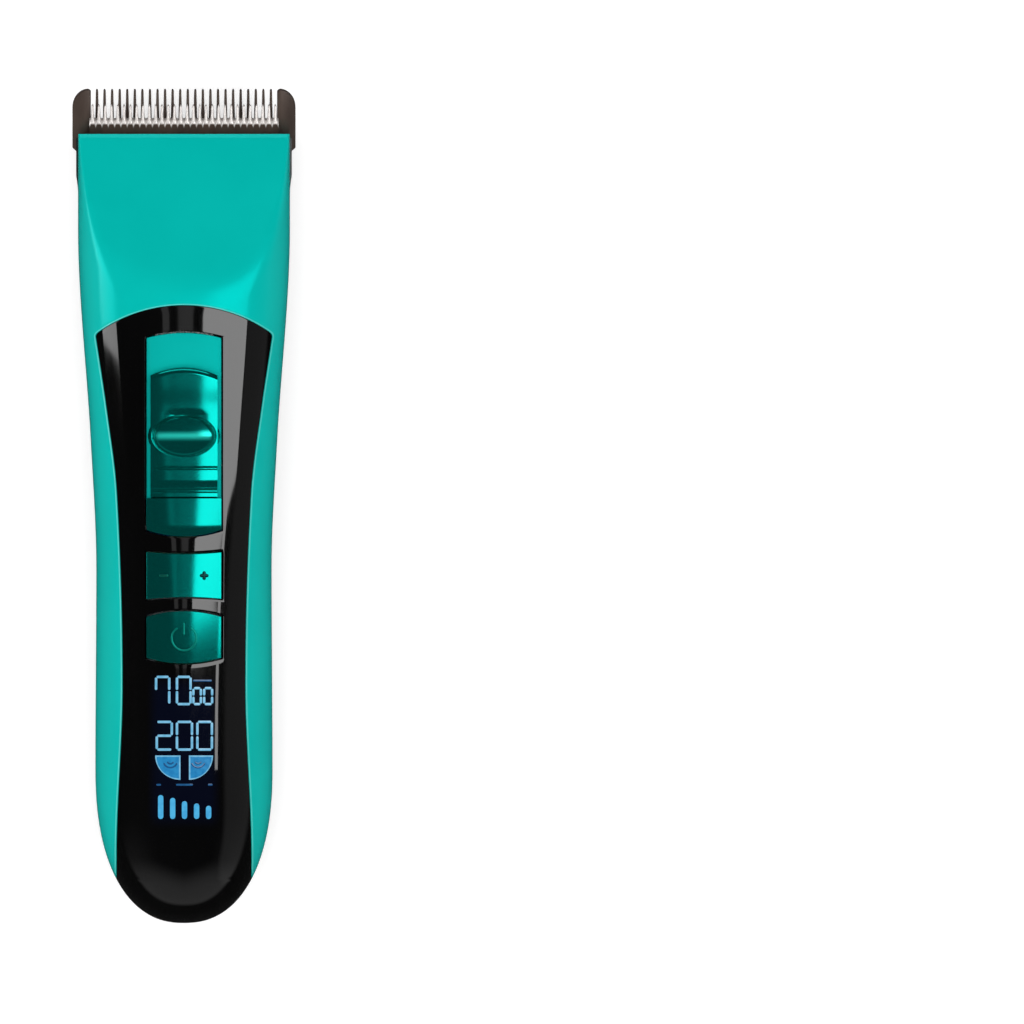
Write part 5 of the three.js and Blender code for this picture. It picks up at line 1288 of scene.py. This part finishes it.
# %% Finish helper
def finish(name, tone, second, roughness, spread=0.06, grain=1500, bump=0.01, metallic=0.0,
           cloud=70, stretch=(1, 1, 1), **sockets):
    """A procedural finish: a cloud drifts two tones, and a grain rules roughness and bump."""
    material = bpy.data.materials.new(name)
    material.use_nodes = True
    tree, surface = shader_of(material)
    place = object_place(tree, stretch)
    broad = noise_at(tree, place, Scale=cloud, Detail=3.0, Roughness=0.55)
    fine = noise_at(tree, place, Scale=grain, Detail=2.0, Roughness=0.6)
    tree.links.new(tones(tree, broad, tone, second, 0.32, 0.68), surface.inputs["Base Color"])
    rough = add_node(tree, "ShaderNodeMapRange", To_Min=max(roughness - spread, 0.02),
                     To_Max=roughness + spread)
    tree.links.new(fine, rough.inputs["Value"])
    tree.links.new(rough.outputs["Result"], surface.inputs["Roughness"])
    relief = add_node(tree, "ShaderNodeBump", Strength=1.0, Distance=bump * MM)
    tree.links.new(fine, relief.inputs["Height"])
    tree.links.new(relief.outputs["Normal"], surface.inputs["Normal"])
    for key, value in {"Metallic": metallic, **sockets}.items():
        surface.inputs[key.replace("_", " ")].default_value = value
    return material


# %% [markdown]
# ### Housing, panel and caps
#
# The housing is satin plastic in the clipper's teal, with the fine grain of a spark-eroded mould. The
# panel is polished black, so its grain is only a breath of polish lines. The caps are plastic with a
# metallic teal paint: partly a tinted mirror, partly a diffuse body, which makes them light where the
# studio's large lamp stands over them and deep green where it doesn't.

# %% Plastics
TEAL_TINT = (0.0, 1.0, 0.95, 1.0)
PAINT = {"tone": (0.001, 0.195, 0.17), "second": (0.0015, 0.207, 0.18), "roughness": 0.12, "spread": 0.03,
         "grain": 4200, "bump": 0.002, "metallic": 0.84, "Specular_Tint": TEAL_TINT}
MARK = {"roughness": 0.3, "grain": 3000, "bump": 0.002}
teal_plastic = finish("teal_plastic", (0.001, 0.43, 0.385), (0.0015, 0.45, 0.402), 0.2, 0.04,
                      grain=2600, bump=0.004, Specular_Tint=TEAL_TINT)
black_plastic = finish("black_plastic", (0.008, 0.008, 0.009), (0.012, 0.012, 0.013), 0.42, 0.08,
                       grain=2200, bump=0.02)
gloss_black = finish("gloss_black", (0.0012, 0.0012, 0.0013), (0.002, 0.002, 0.0021), 0.04, 0.02,
                     grain=500, bump=0.0006, stretch=(1, 0.25, 1))
teal_paint = finish("teal_paint", **PAINT)
# Painted highlight: the shell's rolled edge round the panel is a paler teal than the shell, standing in for
# the light its round catches.
edge_highlight_teal = finish("edge_highlight_teal", (0.05, 0.56, 0.5), (0.06, 0.6, 0.54), 0.25, 0.05, grain=2600, bump=0.003)
track_teal = finish("track_teal", (0.002, 0.37, 0.335), (0.003, 0.39, 0.35), 0.34, 0.05,
                    grain=3000, bump=0.003, Specular_IOR_Level=0.2, Specular_Tint=TEAL_TINT)
mark_pale = finish("mark_pale", (0.004, 0.16, 0.125), (0.008, 0.19, 0.15), **MARK, metallic=0.55,
                   Specular_Tint=(0.0, 1.0, 0.9, 1.0))
# Painted shade: the plus gets a dark tone, as a sunken sign lying in shade would show, though its bead
# stands proud.
mark_painted_shade = finish("mark_painted_shade", (0.001, 0.028, 0.026), (0.002, 0.034, 0.032), **MARK, spread=0.08,
                   metallic=0.9)
mark_faint = finish("mark_faint", (0.005, 0.14, 0.105), (0.007, 0.16, 0.12), **MARK, metallic=0.8)

# %% The knob's paint, with a painted highlight along the ridge of its rest
RIDGE_HIGHLIGHT_WIDTH, RIDGE_HIGHLIGHT_METAL = 1.35, 0.6
knob_paint = finish("knob_paint", **PAINT)
tree, surface = shader_of(knob_paint)
x_axis, y_axis, _ = axes_of(tree)
from_ridge = sum_of(tree, "ABSOLUTE", sum_of(tree, "SUBTRACT", y_axis, REST_Y * MM))
# Painted highlight: along the rest's ridge the paint is made paler and less metallic, standing in for the
# line of light the ridge catches.
ridge_highlight = sum_of(tree, "MULTIPLY", soft_step(tree, from_ridge, RIDGE_HIGHLIGHT_WIDTH * MM, 0.0),
              soft_step(tree, sum_of(tree, "ABSOLUTE", x_axis), (REST_HALF_X - 0.2) * MM,
                        (REST_HALF_X - 1.4) * MM))
lay_over(knob_paint, ridge_highlight, (0.02, 0.5, 0.42))
highlight_metal = sum_of(tree, "SUBTRACT", PAINT["metallic"], sum_of(tree, "MULTIPLY", ridge_highlight, RIDGE_HIGHLIGHT_METAL))
tree.links.new(highlight_metal, surface.inputs["Metallic"])

# %% Display glow behind the panel
GLOW, GLOW_COLOUR = 0.007, (0.0, 0.14, 1.0, 1.0)
display_low, display_high = corners("display_module")
glow_centre = (display_low + display_high)[1] / 2 * MM
glow_half = (display_high - display_low)[1] / 2 * MM
tree, surface = shader_of(gloss_black)
x_axis, y_axis, _ = axes_of(tree)
from_centre = sum_of(tree, "ABSOLUTE", sum_of(tree, "SUBTRACT", y_axis, glow_centre))
glow = sum_of(tree, "MULTIPLY", soft_step(tree, sum_of(tree, "ABSOLUTE", x_axis), 8.2 * MM, 5.2 * MM),
              soft_step(tree, from_centre, glow_half, glow_half - 4.5 * MM))
tree.links.new(sum_of(tree, "MULTIPLY", glow, GLOW), surface.inputs["Emission Strength"])
surface.inputs["Emission Color"].default_value = GLOW_COLOUR
print("glow centre", round(glow_centre / MM, 1), "mm, half length", round(glow_half / MM, 1), "mm")


def lit(name, colour, dim):
    """A lit stroke: dark glass whose glow drifts between two tones, as an uneven backlight does."""
    made = finish(name, (0.004, 0.01, 0.014), (0.006, 0.014, 0.02), 0.1, 0.03, grain=900, bump=0.001,
                  Emission_Strength=1.0)
    tree, surface = shader_of(made)
    drift = tones(tree, noise_at(tree, object_place(tree), Scale=900), dim, colour, 0.3, 0.6)
    tree.links.new(drift, surface.inputs["Emission Color"])
    return made


lit_figures = lit("lit_figures", (0.2, 0.5, 0.72), (0.12, 0.4, 0.62))
lit_bars = lit("lit_bars", (0.075, 0.44, 0.75), (0.05, 0.34, 0.65))
lit_discs = lit("lit_discs", (0.02, 0.24, 0.52), (0.01, 0.17, 0.42))
lit_dim = lit("lit_dim", (0.01, 0.09, 0.24), (0.006, 0.06, 0.18))

# %% [markdown]
# ### Steel and the inner parts
#
# The blades are carbon steel with a dark brown coating that the wheel has ground away on the cutter's
# teeth: an attribute says where the steel is bare. Grinding leaves fine lines along the teeth, so the
# noise is stretched that way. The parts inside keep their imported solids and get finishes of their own.

# %% Steels
COAT = {"tone": (0.06, 0.034, 0.026), "second": (0.085, 0.048, 0.037), "spread": 0.1, "grain": 1800,
        "bump": 0.006, "cloud": 260}
coat_brown = finish("coat_brown", **COAT, roughness=0.36, metallic=0.2)
ground_steel = finish("ground_steel", **COAT, roughness=0.34, metallic=0.3, stretch=(1.0, 0.12, 0.12))
tree, surface = shader_of(ground_steel)
bare = tree.nodes.new("ShaderNodeAttribute")
bare.attribute_name = "bare_steel"
grinding = noise_at(tree, object_place(tree, (1.0, 0.08, 0.08)), Scale=5200)
lay_over(ground_steel, bare.outputs["Fac"], tones(tree, grinding, (0.5, 0.46, 0.44), (0.74, 0.7, 0.68)))
comb_steel = finish("comb_steel", (0.045, 0.03, 0.024), (0.07, 0.048, 0.038), 0.34, 0.1, grain=2000,
                    bump=0.006, metallic=0.25, cloud=300, stretch=(1.0, 0.3, 0.3))
plain_steel = finish("plain_steel", (0.42, 0.43, 0.44), (0.55, 0.56, 0.57), 0.28, 0.1, grain=2400,
                     bump=0.004, metallic=1.0)

# %% Inner parts
white_acetal = finish("white_acetal", (0.72, 0.7, 0.64), (0.78, 0.76, 0.7), 0.4, 0.08, grain=1600,
                      bump=0.008)
board_green = finish("board_green", (0.012, 0.1, 0.045), (0.018, 0.13, 0.06), 0.35, 0.08, grain=1200,
                     cloud=400)
battery_wrap = finish("battery_wrap", (0.03, 0.15, 0.42), (0.04, 0.18, 0.48), 0.25, grain=900)
grey_silicone = finish("grey_silicone", (0.3, 0.32, 0.33), (0.36, 0.38, 0.39), 0.7, 0.1)
display_glass = finish("display_glass", (0.004, 0.008, 0.012), (0.006, 0.012, 0.02), 0.06, 0.02, grain=700,
                       bump=0.001)
tongue_black = finish("tongue_black", (0.01, 0.01, 0.011), (0.016, 0.016, 0.017), 0.5, 0.08, grain=2000)
spring_steel = finish("spring_steel", (0.38, 0.39, 0.4), (0.5, 0.51, 0.52), 0.22, 0.08, grain=3000,
                      bump=0.003, metallic=1.0)
by_slot = {"teal_housing": teal_plastic, "black_housing": black_plastic, "gloss_panel": gloss_black,
           "metallic_teal": teal_paint, "dark_blade_steel": comb_steel, "ground_blade_steel": ground_steel,
           "plain_steel": plain_steel}
own_finish = {
    track_teal: "slider_floor", knob_paint: "slider_knob", edge_highlight_teal: "panel_edge", mark_pale: "power_sign",
    mark_painted_shade: "plus_sign", mark_faint: "minus_sign", lit_figures: "display_figures display_disc_rims",
    lit_bars: "display_bars", lit_discs: "display_disc_faces", lit_dim: "display_disc_signs display_dashes",
    coat_brown: "cutter_body", board_green: "circuit_board inlet_board", battery_wrap: "battery_cell",
    grey_silicone: "button_pad", display_glass: "display_module", tongue_black: "inlet_tongue",
    spring_steel: "blade_spring detent_spring", black_plastic: "motor_cap motor_mount",
    teal_plastic: "front_housing slider_track",
    white_acetal: "slider_carriage adjust_lever adjust_link eccentric_cam blade_carriage drive_yoke",
    plain_steel: "lever_pin motor_can motor_shaft motor_screw_left motor_screw_right inlet_shell "
                 "blade_screw_left blade_screw_right battery_tab_front battery_tab_back "
                 "tact_switch_minus tact_switch_plus tact_switch_power",
}
of_name = {name: material for material, names in own_finish.items() for name in names.split()}


def dress(piece, material):
    """The finish goes into the piece's material slots: every slot it has, or a new one."""
    if len(piece.material_slots) == 0:
        piece.data.materials.append(material)
    for slot in piece.material_slots:
        slot.material = material


# %% Dress every piece
replaced = []
for piece in bpy.data.objects:
    if piece.type != "MESH":
        continue
    material = of_name.get(piece.name) or by_slot.get(piece.get("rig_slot"))
    if material:
        dress(piece, material)
    else:
        replaced.append(piece.name)
print("left as packed, since a piece stands for them:", sorted(replaced))

# %% [markdown]
# ## Camera, light and floor
#
# The clipper is seen straight from above, without perspective. Some lamps only light and others are only
# mirrored, because a gloss black front must stay black while the teal round it is evenly bright. A wide
# lamp overhead and a fill on either side do the lighting. A long lamp to the right, which the panel
# mirrors as a tall grey band, a thin one beside it, one at the left and two dim strips on the ceiling are
# there to be mirrored, and a dim wall behind gives the tail its sheen. The floor isn't mirrored either.

# %% Camera
VIEW_WIDTH, VIEW_X, VIEW_Y = 218.4, 69.96, -1.33
camera = in_scene("camera", bpy.data.cameras.new("camera"))
camera.data.type = "ORTHO"
camera.data.ortho_scale = VIEW_WIDTH * MM
camera.location = (VIEW_X * MM, VIEW_Y * MM, 1.0)
bpy.context.scene.camera = camera


# %% Lamps
def lamp(name, place, size_x, size_y, radiance, looks_at=None, mirrored=True, lights=True):
    """A rectangular lamp of a given radiance: its power is radiance x area x pi, places in metres."""
    made = in_scene(name, bpy.data.lights.new(name, "AREA"))
    made.data.shape = "RECTANGLE"
    made.data.size, made.data.size_y = size_x, size_y
    made.data.energy = radiance * size_x * size_y * math.pi
    made.location = place
    if looks_at is not None:
        made.rotation_euler = (Vector(looks_at) - Vector(place)).to_track_quat("-Z", "Y").to_euler()
    made.visible_glossy, made.visible_diffuse = mirrored, lights


lamp("long_lamp", (0.342, 0.133, 0.6), 0.6, 0.334, 5.2, lights=False)
lamp("thin_lamp", (0.405, -0.045, 0.6), 0.06, 0.042, 5.2, lights=False)
lamp("overhead_lamp", (0.0, 0.0, 1.6), 2.4, 2.4, 2.02, mirrored=False)
lamp("left_fill", (-1.2, 0.0, 0.5), 1.5, 0.8, 1.7, looks_at=(0, 0, 0.02), mirrored=False)
lamp("right_fill", (1.2, 0.0, 0.5), 1.5, 0.8, 0.8, looks_at=(0, 0, 0.02), mirrored=False)
lamp("left_lamp", (-0.9, 0.165, 0.31), 0.37, 0.6, 4.4, looks_at=(0, 0.165, 0.31), lights=False)
lamp("front_lamp", (0.0, 1.1, 0.2), 0.8, 0.22, 2.6, looks_at=(0, 0.08, 0.02))
for label, centre, width in (("left", -0.052, 0.036), ("middle", 0.004, 0.02)):
    lamp(f"ceiling_strip_{label}", (centre, 0.14, 0.8), width, 0.35, 0.55, lights=False)

# %% World and floor
RIGHT_WALL, TAIL_WALL, ROOM, SEEN = 0.2, 0.4, 0.015, 0.95
FLOOR = box_outline(-3, 3, -3, 3)
FLOOR_DROP = 0.0002
world = bpy.data.worlds.new("studio")
bpy.context.scene.world = world
world.use_nodes = True
tree = world.node_tree
background = tree.nodes["Background"]
x_axis, y_axis, z_axis = axes_of(tree, "Generated")
to_right = soft_step(tree, x_axis, 0.68, 0.8)
aside = sum_of(tree, "MULTIPLY", sum_of(tree, "ABSOLUTE", x_axis), 0.3)
to_tail = soft_step(tree, sum_of(tree, "SUBTRACT", aside, y_axis), 0.5, 0.98)
above = soft_step(tree, z_axis, -0.25, -0.05)
walls = sum_of(tree, "ADD", sum_of(tree, "MULTIPLY", to_right, RIGHT_WALL),
               sum_of(tree, "MULTIPLY", to_tail, TAIL_WALL))
dim_room = sum_of(tree, "ADD", sum_of(tree, "MULTIPLY", walls, above), ROOM)
rays = tree.nodes.new("ShaderNodeLightPath")
seen = sum_of(tree, "MAXIMUM", dim_room, sum_of(tree, "MULTIPLY", rays.outputs["Is Camera Ray"], SEEN))
tree.links.new(seen, background.inputs["Strength"])
background.inputs["Color"].default_value = (1, 1, 1, 1)
bpy.context.scene.view_settings.view_transform = "Standard"

floor_mesh = bpy.data.meshes.new("floor")
floor_mesh.from_pydata([(x, y, -FLOOR_DROP) for x, y in FLOOR], [], [(0, 1, 2, 3)])
floor = in_scene("floor", floor_mesh)
floor.visible_glossy = False
dress(floor, finish("floor_paint", (0.88, 0.88, 0.88), (0.9, 0.9, 0.9), 0.7, 0.05, grain=300, bump=0.02,
                    cloud=5, Specular_IOR_Level=0.0, Emission_Color=(1, 1, 1, 1), Emission_Strength=0.4))
